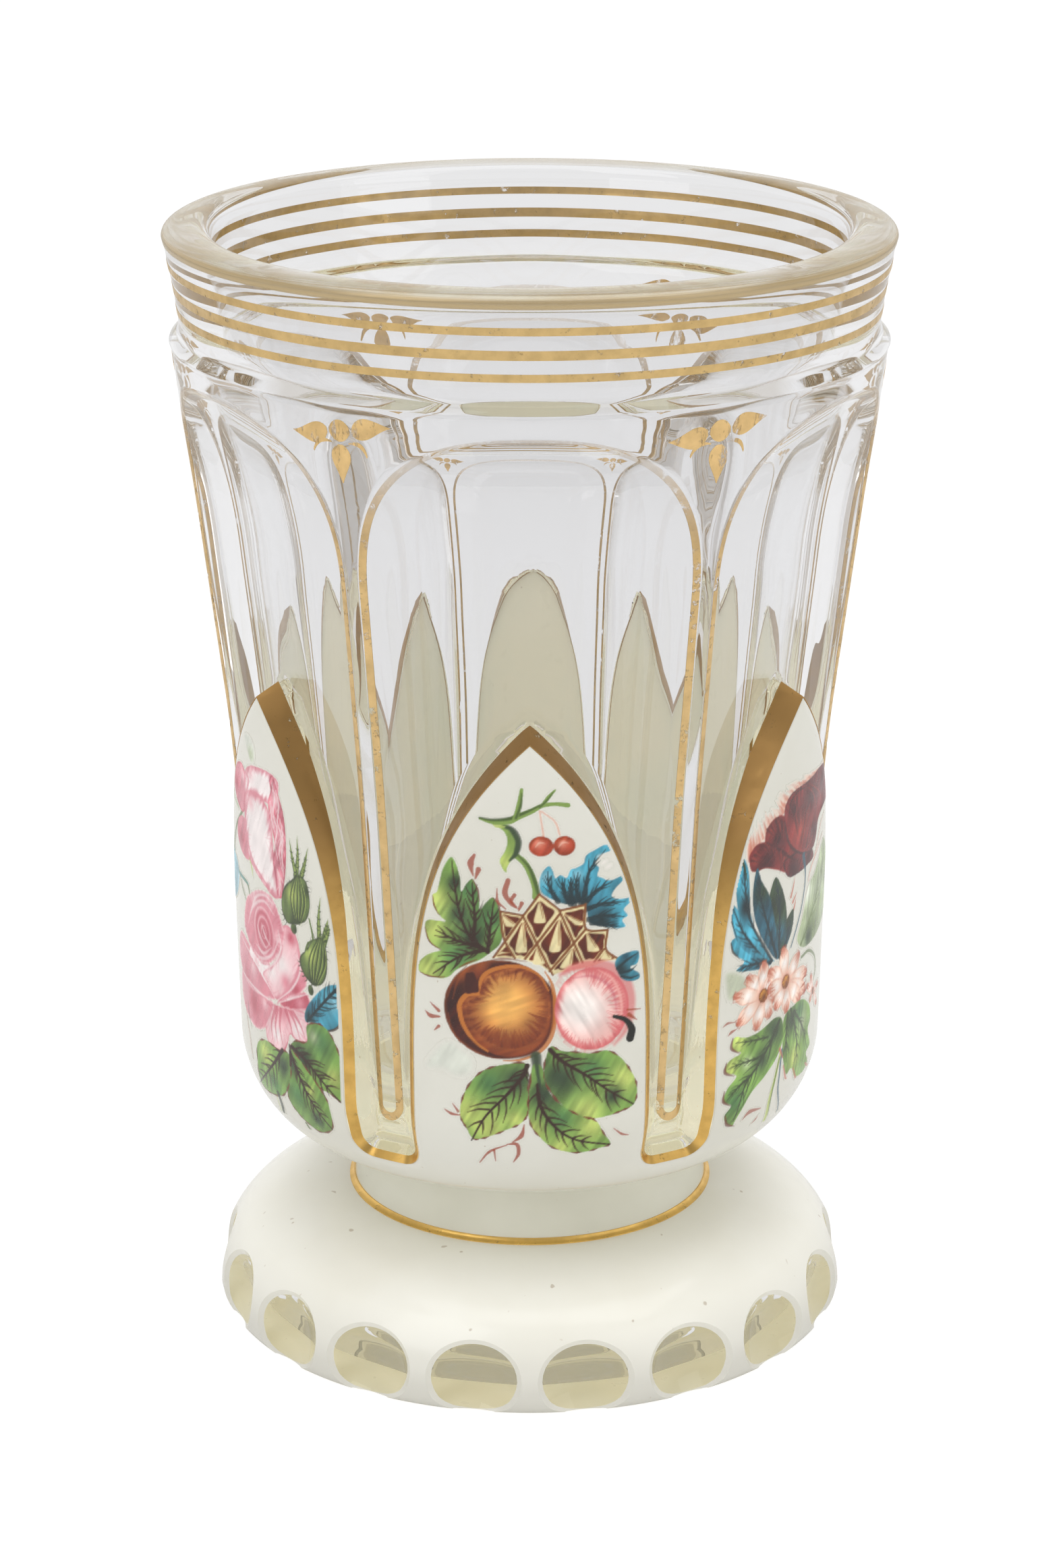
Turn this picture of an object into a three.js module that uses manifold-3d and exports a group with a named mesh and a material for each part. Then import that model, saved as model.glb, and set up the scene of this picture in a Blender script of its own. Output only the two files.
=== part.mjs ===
// A footed glass beaker: clear glass cased in white, cut, gilded and painted in enamels.
// Millimetres, +Z up, the origin in the middle of the underside of the foot.
// The middle of the first painted panel faces -Y.
import * as THREE from 'three';
import { mergeVertices } from 'three/addons/utils/BufferGeometryUtils.js';
import Module from 'manifold-3d';

const wasm = await Module();
wasm.setup();

// Heights, stacked from the table up
const footHeight = 15.6;
const stemHeight = 9;
const bowlHeight = 107.2; // underside of the bowl to the crest of its shoulder
const shoulderHeight = 2.5;
const collarHeight = 12;

// The clear bowl
const rimRadius = 46.5;
const lipWall = 6.1;
const lipRounding = 1.1;
const collarFlare = 1.9; // from the foot of the collar out to the rim
const shoulderStep = 1.3; // from the foot of the collar out to the crest
const crestStep = 0.3; // from the ribs out to the crest
const bendRadius = 39.4; // where the ribs change their slope
const bendHeight = 55.9; // above the underside of the bowl
const ribFootRadius = 35.7;
const facetWall = 2.7; // thinnest glass, behind the middle of a facet
const floorThickness = 10.4;
const floorCorner = 9;

// The six arched facets and the ribs between them
const panels = 6;
const ribWidth = 2.3;
const ribFootHeight = 12; // above the underside of the bowl
const archDrop = 3.3; // from the crest of the shoulder to the top of an arch
const wheelRadius = 45; // of the cut that runs out at the top of an arch

// The white casing of the bowl, cut into six lancets that stand on a band
const casing = 2.6;
const faceTopRadius = 40.1;
const faceFootRadius = 38.9;
const heelWidth = 11.1;
const heelHeight = 15.2;
const heelRise = 0.9; // from the stem out to the lowest turn of the heel
const lancetTop = 64.6; // above the underside of the bowl
const lancetSpring = 10.4;
const lancetHalfWidth = 15.5;
const lancetFullness = 3.85;
const windowFoot = 5.9;
const windowCorner = 3;

// The stem and the foot
const stemRadius = 23.3;
const stemFootRadius = 23.9;
const stemWall = 2.2;
const footRadius = 42.3;
const footEdgeHeight = 2.5;
const baseRadius = 41.6;
const footFullness = 2.15;
const footCasing = 0.6;
const recessRadius = 30;
const recessDepth = 1.2;

// The thumb cuts round the foot
const thumbCuts = 18;
const thumbWidth = 12.2;
const thumbHeight = 10.4;
const thumbDepth = 2.1;
const thumbMiddle = 4.9; // height of their middles
const thumbLean = 15; // degrees, inward at the top

// Gilding and enamel
const giltThickness = 0.3;
const lipGiltWidth = 2.5;
const topBandDrop = 4.55; // from the rim to the middle of each gold band
const middleBandDrop = 7.5;
const bottomBandDrop = 10.3;
const narrowBand = 1;
const wideBand = 1.2;
const ribLine = 0.8;
const footLine = 0.9;
const trefoilDrop = 3.6; // from the crest of the shoulder to the middle of the dot
const trefoilDot = 1.3;
const petalLength = 5.6;
const petalWidth = 2.4;
const sidePetalTilt = 8; // degrees below level
const tendrilLength = 3.4;
const tendrilWidth = 0.5;
const enamelThickness = 0.3;

const gap = 0.3; // between neighbouring layers
const roundSteps = 36; // sides of every turned form

// Levels
const stemLevel = footHeight;
const bowlLevel = stemLevel + stemHeight;
const heelLevel = bowlLevel + heelHeight;
const ribFootLevel = bowlLevel + ribFootHeight;
const bendLevel = bowlLevel + bendHeight;
const lancetLevel = bowlLevel + lancetTop;
const crestLevel = bowlLevel + bowlHeight;
const archLevel = crestLevel - archDrop;
const collarLevel = crestLevel + shoulderHeight;
const rimLevel = collarLevel + collarHeight;
const joinLevel = stemLevel + stemHeight / 2;
const pitch = (2 * Math.PI) / panels;

// Radii that follow from the rim's
const collarRadius = rimRadius - collarFlare;
const shoulderRadius = collarRadius + shoulderStep;
const bowlTopRadius = shoulderRadius - crestStep; // just under the shoulder

const clear = new THREE.MeshStandardMaterial({
  color: '#e4e6e2', roughness: 0.05, metalness: 0, transparent: true, opacity: 0.35,
});
const white = new THREE.MeshStandardMaterial({ color: '#e8e7de', roughness: 0.25, metalness: 0 });
const cream = new THREE.MeshStandardMaterial({ color: '#dcd8c4', roughness: 0.25, metalness: 0 });
const gold = new THREE.MeshStandardMaterial({ color: '#c9a15a', roughness: 0.35, metalness: 1 });
const paints = {
  fruit: new THREE.MeshStandardMaterial({ color: '#9a5b3c', roughness: 0.3, metalness: 0 }),
  roses: new THREE.MeshStandardMaterial({ color: '#d98fa0', roughness: 0.3, metalness: 0 }),
  poppy: new THREE.MeshStandardMaterial({ color: '#8a2430', roughness: 0.3, metalness: 0 }),
};

const object = new THREE.Group();

function point(x, y) {
  return new THREE.Vector2(x, y);
}

function between(low, high, share) {
  return low + (high - low) * share;
}

// The value of y on a chain of points at the height z, carried on past both ends
function along(chain, z) {
  let i = 1;
  while (i < chain.length - 1 && chain[i].y < z) i += 1;
  const low = chain[i - 1];
  const high = chain[i];
  return between(low.x, high.x, (z - low.y) / (high.y - low.y));
}

function solid(geometry) {
  const plain = geometry.clone();
  plain.deleteAttribute('normal');
  plain.deleteAttribute('uv');
  const merged = mergeVertices(plain, 1e-4);
  return new wasm.Manifold(new wasm.Mesh({
    numProp: 3,
    vertProperties: Float32Array.from(merged.attributes.position.array),
    triVerts: Uint32Array.from(merged.index.array),
  }));
}

function add(name, shape, material) {
  const cut = shape.getMesh();
  const geometry = new THREE.BufferGeometry();
  geometry.setAttribute('position', new THREE.BufferAttribute(cut.vertProperties, 3));
  geometry.setIndex(new THREE.BufferAttribute(cut.triVerts, 1));
  geometry.computeVertexNormals();
  const mesh = new THREE.Mesh(geometry, material);
  mesh.name = name;
  object.add(mesh);
}

// A turned solid from an outline of (radius, height), bottom first and up its outside
function turned(outline) {
  const geometry = new THREE.LatheGeometry(outline, roundSteps);
  geometry.rotateX(Math.PI / 2);
  return solid(geometry);
}

// A turned ring: up the outer chain, back down the inner one
function ring(outer, inner) {
  return turned([...outer, ...[...inner].reverse(), outer[0].clone()]);
}

// A chain of (radius, height) moved sideways by a distance, inward when it is positive
function inset(chain, distance) {
  return chain.map((p, i) => {
    const before = chain[Math.max(i - 1, 0)];
    const after = chain[Math.min(i + 1, chain.length - 1)];
    const way = after.clone().sub(before).normalize();
    return point(p.x - way.y * distance, p.y + way.x * distance);
  });
}

// A solid cut out radially by an outline that is drawn on the unrolled bowl:
// x is the distance round from the azimuth, at the radius of the lancets' faces
const drawnRadius = faceTopRadius;
const halfPitch = (drawnRadius * pitch) / 2;
const innerReach = faceFootRadius * 0.75;
const outerReach = 1.35 * Math.max(rimRadius, shoulderRadius, faceTopRadius);
const wedgeSteps = 6; // keep its twisted sides true

function wedge(outline, azimuth) {
  const geometry = new THREE.ExtrudeGeometry(new THREE.Shape(outline), {
    depth: 1, steps: wedgeSteps, bevelEnabled: false,
  });
  const place = geometry.attributes.position;
  for (let i = 0; i < place.count; i += 1) {
    const angle = azimuth + place.getX(i) / drawnRadius;
    const radius = between(innerReach, outerReach, place.getZ(i));
    place.setXYZ(i, radius * Math.sin(angle), -radius * Math.cos(angle), place.getY(i));
  }
  return solid(geometry);
}

function block(left, right, low, high) {
  return [point(left, low), point(right, low), point(right, high), point(left, high)];
}

// The strip between two lines that run beside an open path, at two distances to its left
function strip(path, near, far) {
  return [...inset(path, near), ...inset(path, far).reverse()];
}

// Outlines of the bowl, radius against height
const ribChain = [
  point(ribFootRadius, ribFootLevel), point(bendRadius, bendLevel), point(bowlTopRadius, crestLevel - 1),
];
const heelChain = [point(stemRadius + 1, bowlLevel)];
const heelSteps = 4;
for (let i = 0; i <= heelSteps; i += 1) {
  const turn = (Math.PI / 2) * (1 - i / heelSteps);
  const radius = faceFootRadius - heelWidth * (1 - Math.cos(turn));
  heelChain.push(point(radius, heelLevel - (heelHeight - heelRise) * Math.sin(turn)));
}
const shellLevel = lancetLevel + 2 * windowCorner; // the casing before it is cut
const faceSlope = (faceTopRadius - faceFootRadius) / (lancetLevel - heelLevel);
const faceChain = [
  ...heelChain, point(faceFootRadius + faceSlope * (shellLevel - heelLevel), shellLevel),
];
const casingInner = inset(faceChain, casing);
const landChain = inset(faceChain, casing + gap);
const coreRadius = stemRadius - stemWall - gap;

// The collar leans out more towards the rim
const collarChain = [
  point(collarRadius, collarLevel),
  point(between(collarRadius, rimRadius, 0.2), between(collarLevel, rimLevel, 0.35)),
  point(rimRadius - giltThickness - gap, rimLevel - lipRounding - gap),
];

// Half the width of a lancet at a height; below nothing above its tip
function lancetWidth(z) {
  const share = Math.max(0, (z - bowlLevel - lancetSpring) / (lancetTop - lancetSpring));
  return lancetHalfWidth * (1 - share ** lancetFullness);
}

// The open path round one window: down from the tip of the lancet on its left,
// round the window's foot and up to the tip on its right
function windowPath() {
  const steps = 8;
  const overrun = windowCorner / 2; // past the tips
  const side = [];
  const footLevel = bowlLevel + windowFoot;
  const reach = lancetTop - lancetSpring + overrun;
  for (let i = 0; i < steps; i += 1) {
    const z = lancetLevel + overrun - reach * (i / steps) ** 1.4;
    side.push(point(halfPitch - lancetWidth(z), z));
  }
  const half = halfPitch - lancetHalfWidth;
  const corner = Math.min(windowCorner, half * 0.9);
  for (let i = 0; i <= 3; i += 1) {
    const turn = (Math.PI / 2) * (i / 3);
    side.push(point(half - corner * (1 - Math.cos(turn)), footLevel + corner * (1 - Math.sin(turn))));
  }
  return [...side.map((p) => point(-p.x, p.y)), ...side.reverse()];
}

function windowOutline(shrink) {
  const path = inset(windowPath(), shrink);
  const far = halfPitch + windowCorner;
  return [...path, point(far, shellLevel + gap), point(-far, shellLevel + gap)];
}

// How far a facet lies from the axis: a fixed rib's width beside the next facet,
// then the runout of the cutting wheel
function flatReach(z) {
  const radius = along(ribChain, z);
  return radius * Math.cos(pitch / 2 - Math.asin(ribWidth / 2 / radius));
}

function runout(start, z) {
  const slope = Math.atan(flatReach(start) - flatReach(start - 1));
  const turn = Math.asin(Math.min(1, (z - start) / wheelRadius + Math.sin(slope)));
  return flatReach(start) + wheelRadius * (Math.cos(slope) - Math.cos(turn));
}

function solve(rises, low, high) {
  let from = low;
  let to = high;
  for (let i = 0; i < 50; i += 1) {
    const middle = (from + to) / 2;
    if (rises(middle) > 0) to = middle;
    else from = middle;
  }
  return (from + to) / 2;
}

const archRadius = along(ribChain, archLevel);
const runoutLevel = solve((z) => archRadius - runout(z, archLevel), archLevel - wheelRadius, archLevel);

function facetReach(z) {
  return z < runoutLevel ? flatReach(z) : runout(runoutLevel, z);
}

// One facet's cutter, a block whose inner side has the facet's profile
function facetCutter(azimuth) {
  const runoutSteps = 6;
  const profile = [bowlLevel, ribFootLevel, bendLevel].map((z) => point(flatReach(z), z));
  for (let i = 0; i <= runoutSteps; i += 1) {
    const z = between(runoutLevel, archLevel + archDrop / 4, i / runoutSteps);
    profile.push(point(facetReach(z), z));
  }
  const last = profile[profile.length - 1];
  profile.push(point(outerReach, last.y + outerReach - last.x), point(outerReach, bowlLevel));
  const width = bowlTopRadius * 1.2;
  const geometry = new THREE.ExtrudeGeometry(new THREE.Shape(profile), {
    depth: width, steps: 1, bevelEnabled: false,
  });
  geometry.translate(0, 0, -width / 2);
  const outward = new THREE.Vector3(Math.sin(azimuth), -Math.cos(azimuth), 0);
  const up = new THREE.Vector3(0, 0, 1);
  const across = outward.clone().cross(up);
  geometry.applyMatrix4(new THREE.Matrix4().makeBasis(outward, up, across));
  return solid(geometry);
}

// The open path round one rib: from the top of the arch on its left down to the rib's foot,
// round it, and up to the top of the arch on its right
function ribPath() {
  const archSteps = 6;
  const ribHalf = (z) => halfPitch - drawnRadius * Math.acos(facetReach(z) / along(ribChain, z));
  const side = [];
  for (let i = 0; i < archSteps; i += 1) {
    const angle = (pitch / 2 - ribWidth / ribFootRadius) * Math.sin((Math.PI / 2) * (i / archSteps));
    const z = solve((h) => facetReach(h) - along(ribChain, h) * Math.cos(angle), runoutLevel, archLevel);
    side.push(point(halfPitch - drawnRadius * angle, z));
  }
  side.push(point(ribHalf(runoutLevel), runoutLevel), point(ribHalf(bendLevel), bendLevel));
  const foot = ribHalf(ribFootLevel);
  for (let i = 0; i <= 3; i += 1) {
    const turn = (Math.PI / 2) * (i / 3);
    side.push(point(foot * Math.cos(turn), ribFootLevel + foot * (1 - Math.sin(turn))));
  }
  const left = side.slice(0, -1).map((p) => point(-p.x, p.y));
  return [...left, ...side.reverse()];
}

// The clear bowl, with its collar, shoulder, ribs, facets, cavity and the core of its stem
function clearBowl() {
  const lipLevel = rimLevel - giltThickness - gap;
  const outside = [
    point(0, ribFootLevel), ...ribChain,
    point(shoulderRadius, crestLevel), ...collarChain,
    point(rimRadius - lipGiltWidth, lipLevel),
    point(rimRadius - lipGiltWidth, rimLevel),
    point(0, rimLevel),
  ];
  const lands = landChain.filter((p) => p.x > coreRadius);
  const landTop = lands[lands.length - 1];
  const core = turned([
    point(0, joinLevel + gap / 2), point(coreRadius, joinLevel + gap / 2),
    point(coreRadius, lands[0].y), ...lands, point(0, landTop.y),
  ]);
  const lining = 2 * gap + giltThickness; // room for the gilding beside the casing
  let shape = turned(outside).subtract(underCasing(lining)).add(core);
  for (let i = 0; i < panels; i += 1) {
    shape = shape.subtract(facetCutter(i * pitch).subtract(underCasing(lining - gap / 2)));
  }
  return shape.subtract(cavity());
}

// Everything within the height of the casing, but for its windows, each narrowed all round
function underCasing(shrink) {
  const top = lancetLevel + shrink + gap;
  const disc = turned([
    point(0, bowlLevel - 1), point(outerReach, bowlLevel - 1), point(outerReach, top), point(0, top),
  ]);
  let column = disc;
  for (let i = 0; i < panels; i += 1) {
    column = column.subtract(wedge(windowOutline(shrink), (i + 0.5) * pitch));
  }
  return column;
}

function cavity() {
  const floor = bowlLevel + floorThickness;
  const line = (z) => flatReach(z) - facetWall;
  const start = floor + floorCorner;
  const inside = [point(0, floor)];
  for (let i = 0; i <= 4; i += 1) {
    const turn = (Math.PI / 2) * (i / 4);
    inside.push(point(
      line(start) - floorCorner * (1 - Math.sin(turn)), start - floorCorner * Math.cos(turn),
    ));
  }
  const lip = rimRadius - lipWall;
  inside.push(
    point(line(bendLevel), bendLevel), point(line(runoutLevel), runoutLevel),
    point(lip, rimLevel - 2 * lipRounding), point(lip + lipRounding, rimLevel - lipRounding / 3),
    point(lip + 2 * lipRounding, rimLevel + 1), point(0, rimLevel + 1),
  );
  return turned(inside);
}

// The white casing: a turned shell whose windows leave six lancets on a band
function bowlCasing() {
  const inner = casingInner.filter((p) => p.x > coreRadius + gap);
  const shell = ring(faceChain, [point(coreRadius + gap, bowlLevel), point(coreRadius + gap, inner[0].y),
    ...inner]);
  let shape = shell;
  for (let i = 0; i < panels; i += 1) {
    shape = shape.subtract(wedge(windowOutline(0), (i + 0.5) * pitch));
  }
  return shape;
}

add('clear_bowl', clearBowl(), clear);
add('bowl_casing', bowlCasing(), white);

// The gold on the cut edge of the casing, round each window
function windowGilding(azimuth) {
  const zone = ring(faceChain.slice(1), casingInner.slice(1));
  const edge = wedge(strip(windowPath(), gap, gap + giltThickness), azimuth);
  const sector = wedge(block(gap - halfPitch, halfPitch - gap, bowlLevel, lancetLevel + gap), azimuth);
  return zone.intersect(edge).intersect(sector);
}

// The gold line round each rib and half of each arch beside it
function ribGilding(azimuth) {
  const skin = ring(inset(ribChain, -gap - giltThickness), inset(ribChain, -gap));
  const line = wedge(strip(ribPath(), 0, ribLine), azimuth);
  const sector = wedge(block(gap / 2 - halfPitch, halfPitch - gap / 2, bowlLevel, crestLevel), azimuth);
  return skin.intersect(line).intersect(sector);
}

// A leaf or petal from its root to its tip, drawn on the unrolled bowl
function petal(root, heading, length, width) {
  const across = [0, 0.38, 0.5, 0.25, 0];
  const sides = [1, -1].map((side) => across.map((share, i) => point(
    (length * i) / (across.length - 1), side * share * width,
  )));
  const outline = [...sides[0], ...sides[1].slice(1, -1).reverse()];
  return outline.map((p) => p.rotateAround(point(0, 0), heading).add(root));
}

function tendril(root, heading) {
  const middle = [0, 0.5, 1].map((share) => point(
    tendrilLength * share, -tendrilLength * 0.3 * share ** 2 * Math.sign(Math.cos(heading)),
  ));
  const outline = strip(middle, -tendrilWidth / 2, tendrilWidth / 2);
  return outline.map((p) => p.rotateAround(point(0, 0), heading).add(root));
}

function trefoil(azimuth) {
  const z = crestLevel - trefoilDrop;
  const scale = drawnRadius / along(ribChain, z); // from the bowl's surface to the drawing
  const tilt = THREE.MathUtils.degToRad(sidePetalTilt);
  const root = (heading) => point(
    trefoilDot * 0.8 * Math.cos(heading), trefoilDot * 0.8 * Math.sin(heading),
  );
  const headings = [-tilt, Math.PI + tilt, -Math.PI / 2];
  const curls = [-Math.PI / 4, -Math.PI * 0.75];
  const dotSides = 8;
  const dot = Array.from({ length: dotSides }, (_, i) => (
    point(trefoilDot, 0).rotateAround(point(0, 0), (i / dotSides) * 2 * Math.PI)
  ));
  const outlines = [
    dot,
    ...headings.map((heading) => petal(root(heading), heading, petalLength, petalWidth)),
    ...curls.map((heading) => tendril(root(heading), heading)),
  ];
  const drawn = outlines
    .map((outline) => wedge(outline.map((p) => point(p.x * scale, p.y + z)), azimuth))
    .reduce((whole, piece) => whole.add(piece));
  return ring(inset(ribChain, -gap - giltThickness), inset(ribChain, -gap)).intersect(drawn);
}

// Outlines of the three painted bouquets: x as a share of half the lancet's width,
// y as a share of its height above the foot of the windows
const bouquets = {
  fruit: [
    [-0.38, 0.84], [0, 0.86], [0.28, 0.85], [0.46, 0.76], [0.8, 0.7], [0.76, 0.56], [0.84, 0.4],
    [0.8, 0.28], [0.84, 0.16], [0.6, 0.08], [0.08, 0.14], [-0.46, 0.09], [-0.54, 0.22], [-0.78, 0.34],
    [-0.88, 0.48], [-0.8, 0.64], [-0.62, 0.74], [-0.44, 0.78],
  ],
  roses: [
    [-0.1, 0.82], [0.2, 0.78], [0.36, 0.62], [0.66, 0.6], [0.7, 0.42], [0.84, 0.28], [0.8, 0.14],
    [0.5, 0.1], [0.1, 0.16], [-0.4, 0.1], [-0.72, 0.26], [-0.8, 0.44], [-0.62, 0.62], [-0.5, 0.76],
  ],
  poppy: [
    [0.1, 0.84], [0.36, 0.76], [0.5, 0.6], [0.72, 0.48], [0.7, 0.3], [0.5, 0.2], [0.3, 0.08],
    [-0.1, 0.14], [-0.7, 0.1], [-0.74, 0.3], [-0.8, 0.46], [-0.6, 0.6], [-0.5, 0.74], [-0.2, 0.82],
  ],
};
const bouquetOrder = ['fruit', 'poppy', 'roses', 'fruit', 'poppy', 'roses'];

function painting(kind, azimuth) {
  const foot = bowlLevel + windowFoot;
  const drawn = bouquets[kind].map(([x, y]) => point(
    x * lancetHalfWidth, foot + y * (lancetLevel - foot),
  ));
  const smooth = new THREE.Shape([drawn[0]]).splineThru([...drawn.slice(1), drawn[0]]);
  const outline = smooth.getPoints(1).slice(0, -1);
  const skin = ring(inset(faceChain, -gap - enamelThickness), inset(faceChain, -gap));
  return skin.intersect(wedge(outline, azimuth));
}

for (let i = 0; i < panels; i += 1) {
  const azimuth = (i + 0.5) * pitch;
  add(`window_gilding_${i + 1}`, windowGilding(azimuth), gold);
  add(`rib_gilding_${i + 1}`, ribGilding(azimuth), gold);
  add(`trefoil_${i + 1}`, trefoil(azimuth), gold);
  const kind = bouquetOrder[i % bouquetOrder.length];
  add(`${kind}_painting_${i + 1}`, painting(kind, i * pitch), paints[kind]);
}

// The gilded lip and the three gold bands under it
function lipGilding() {
  const skin = (out) => [
    point(rimRadius - giltThickness + out, rimLevel - 2 * lipRounding),
    point(rimRadius - giltThickness + out, rimLevel - lipRounding),
    point(rimRadius - lipGiltWidth + gap, rimLevel - giltThickness + out),
  ];
  return ring(skin(giltThickness), skin(0));
}

add('lip_gilding', lipGilding(), gold);

function collarBand(drop, width) {
  const edge = (z, out) => point(along(collarChain, z) + out, z);
  const low = rimLevel - drop - width / 2;
  const high = low + width;
  return ring(
    [edge(low, gap + giltThickness), edge(high, gap + giltThickness)], [edge(low, gap), edge(high, gap)],
  );
}

add('collar_band_top', collarBand(topBandDrop, narrowBand), gold);
add('collar_band_middle', collarBand(middleBandDrop, wideBand), gold);
add('collar_band_bottom', collarBand(bottomBandDrop, narrowBand), gold);

// The stem's casing, waisted a little, and the gold line at its foot
const stemOutside = [
  point(stemFootRadius, stemLevel + gap),
  point(stemRadius, between(stemLevel, bowlLevel, 0.45)),
  point(stemRadius + 0.4, bowlLevel - gap),
];
const stemBore = coreRadius + gap;
add('stem_casing', ring(stemOutside, [
  point(stemBore, stemLevel + gap), point(stemBore, bowlLevel - gap),
]), cream);
add('foot_line', ring(
  [
    point(stemFootRadius + gap + giltThickness, stemLevel + gap),
    point(stemFootRadius + gap + giltThickness, stemLevel + footLine),
  ],
  [point(stemFootRadius + gap, stemLevel + gap), point(stemFootRadius + gap, stemLevel + footLine)],
), gold);

// The foot's outside, or a layer below it: a full quarter turn from the stem to the edge
function footChain(depth) {
  const steps = 6;
  const width = footRadius - stemFootRadius - depth;
  const rise = footHeight - footEdgeHeight - depth;
  const chain = [point(baseRadius - depth, 0), point(footRadius - depth, footEdgeHeight * 0.6)];
  for (let i = 0; i <= steps; i += 1) {
    const turn = (Math.PI / 2) * (i / steps);
    chain.push(point(
      stemFootRadius + width * Math.cos(turn) ** (2 / footFullness),
      footEdgeHeight + rise * Math.sin(turn) ** (2 / footFullness),
    ));
  }
  return chain;
}

function thumbCutter(azimuth) {
  const bulge = (thumbWidth / 2) ** 2 / (2 * footRadius); // the foot's own curve across a cut
  const depth = thumbDepth - bulge;
  const radius = ((thumbWidth / 2) ** 2 + depth ** 2) / (2 * depth);
  const share = Math.sqrt(1 - ((radius - thumbDepth) / radius) ** 2);
  const geometry = new THREE.SphereGeometry(1, 16, 10);
  geometry.rotateX(Math.PI / 2);
  geometry.scale(radius, radius, thumbHeight / 2 / share);
  geometry.translate(0, -(radius - thumbDepth), 0);
  geometry.rotateX(-THREE.MathUtils.degToRad(thumbLean));
  geometry.translate(0, -along(footChain(0), thumbMiddle), thumbMiddle);
  geometry.rotateZ(azimuth);
  return solid(geometry);
}

function thumbCut(shape) {
  let rest = shape;
  for (let i = 0; i < thumbCuts; i += 1) {
    rest = rest.subtract(thumbCutter(((i + 0.5) * 2 * Math.PI) / thumbCuts));
  }
  return rest;
}

function footCasingShell() {
  const outer = [...footChain(0), point(stemBore, footHeight)];
  const inner = [...footChain(footCasing), point(stemBore, footHeight - footCasing)];
  return thumbCut(ring(outer, inner));
}

function clearFoot() {
  const outside = footChain(footCasing + gap);
  return thumbCut(turned([
    point(0, recessDepth), point(recessRadius - recessDepth, recessDepth), point(recessRadius, 0),
    ...outside,
    point(coreRadius, footHeight - footCasing - gap), point(coreRadius, joinLevel - gap / 2),
    point(0, joinLevel - gap / 2),
  ]));
}

add('clear_foot', clearFoot(), clear);
add('foot_casing', footCasingShell(), white);

export default object;
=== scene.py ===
import math
import bpy
import numpy as np
from mathutils import Matrix


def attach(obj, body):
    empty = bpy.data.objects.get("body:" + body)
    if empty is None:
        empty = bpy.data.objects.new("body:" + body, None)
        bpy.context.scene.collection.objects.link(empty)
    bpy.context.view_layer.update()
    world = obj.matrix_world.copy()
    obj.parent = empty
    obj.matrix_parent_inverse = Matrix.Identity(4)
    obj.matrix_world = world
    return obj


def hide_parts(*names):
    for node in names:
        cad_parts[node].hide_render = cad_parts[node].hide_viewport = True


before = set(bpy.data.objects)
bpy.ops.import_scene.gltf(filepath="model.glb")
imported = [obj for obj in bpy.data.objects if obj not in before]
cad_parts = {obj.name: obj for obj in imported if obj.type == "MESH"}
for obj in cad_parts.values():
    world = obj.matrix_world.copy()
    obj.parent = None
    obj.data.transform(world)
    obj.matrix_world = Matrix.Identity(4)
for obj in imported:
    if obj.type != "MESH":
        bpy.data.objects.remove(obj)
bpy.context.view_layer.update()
print("frame loaded")

# Every length is in millimetres and every angle in degrees, until a mesh is placed
mm = 0.001
weldReach = 2e-7  # vertices nearer to each other than this, in metres, become one
panelCount = 6
halfPanel = math.radians(180 / panelCount)


def smoothStep(low, high, x):
    t = np.clip((x - low) / (high - low), 0, 1)
    return t * t * (3 - 2 * t)


def smoothMin(a, b, blend):
    h = np.clip(0.5 + 0.5 * (b - a) / blend, 0, 1)
    return b + (a - b) * h - blend * h * (1 - h)


def smoothMax(a, b, blend):
    return -smoothMin(-a, -b, blend)


def around(radius, azimuth, height):  # azimuth 0 faces the viewer, in radians
    radius, azimuth, height = np.broadcast_arrays(radius, azimuth, height)
    return np.stack([radius * np.sin(azimuth), -radius * np.cos(azimuth), height], -1)


def runs(*parts):  # levels in runs of (first, end, step)
    return np.concatenate([np.arange(*part) for part in parts])


def alongOf(path):  # unit vectors along a path
    along = np.gradient(path, axis=0)
    return along / np.linalg.norm(along, axis=1)[:, None]


def rightOf(along):
    return np.stack([along[:, 1], -along[:, 0]], 1)


def choose(*pieces):  # select these pieces alone and make the first one active
    bpy.ops.object.select_all(action="DESELECT")
    for piece in pieces:
        piece.select_set(True)
    bpy.context.view_layer.objects.active = pieces[0]


def placesOf(mesh):
    flat = np.zeros(len(mesh.vertices) * 3)
    mesh.vertices.foreach_get("co", flat)
    return flat.reshape(-1, 3)


def rolledGrid(name, points):  # a grid whose vertices are set to rows x columns of places
    rows, columns = points.shape[:2]
    bpy.ops.object.select_all(action="DESELECT")
    bpy.ops.mesh.primitive_grid_add(x_subdivisions=columns - 1, y_subdivisions=rows - 1, size=2)
    piece = bpy.context.object
    piece.name = piece.data.name = name
    flat = placesOf(piece.data)
    column = np.rint((flat[:, 0] + 1) / 2 * (columns - 1)).astype(int)
    row = np.rint((flat[:, 1] + 1) / 2 * (rows - 1)).astype(int)
    piece.data.vertices.foreach_set("co", (points[row, column] * mm).ravel())
    piece.data.update()
    return piece


def closeShell(piece, angle=35):  # merge the seams and poles, cap the ends, face outwards
    choose(piece)
    bpy.ops.object.mode_set(mode="EDIT")
    for tool, settings in ((bpy.ops.mesh.remove_doubles, {"threshold": weldReach}),
                           (bpy.ops.mesh.fill_holes, {"sides": 0}),
                           (bpy.ops.mesh.normals_make_consistent, {"inside": False})):
        bpy.ops.mesh.select_all(action="SELECT")
        tool(**settings)
    bpy.ops.object.mode_set(mode="OBJECT")
    bpy.ops.object.shade_smooth_by_angle(angle=math.radians(angle))
    return piece


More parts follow.
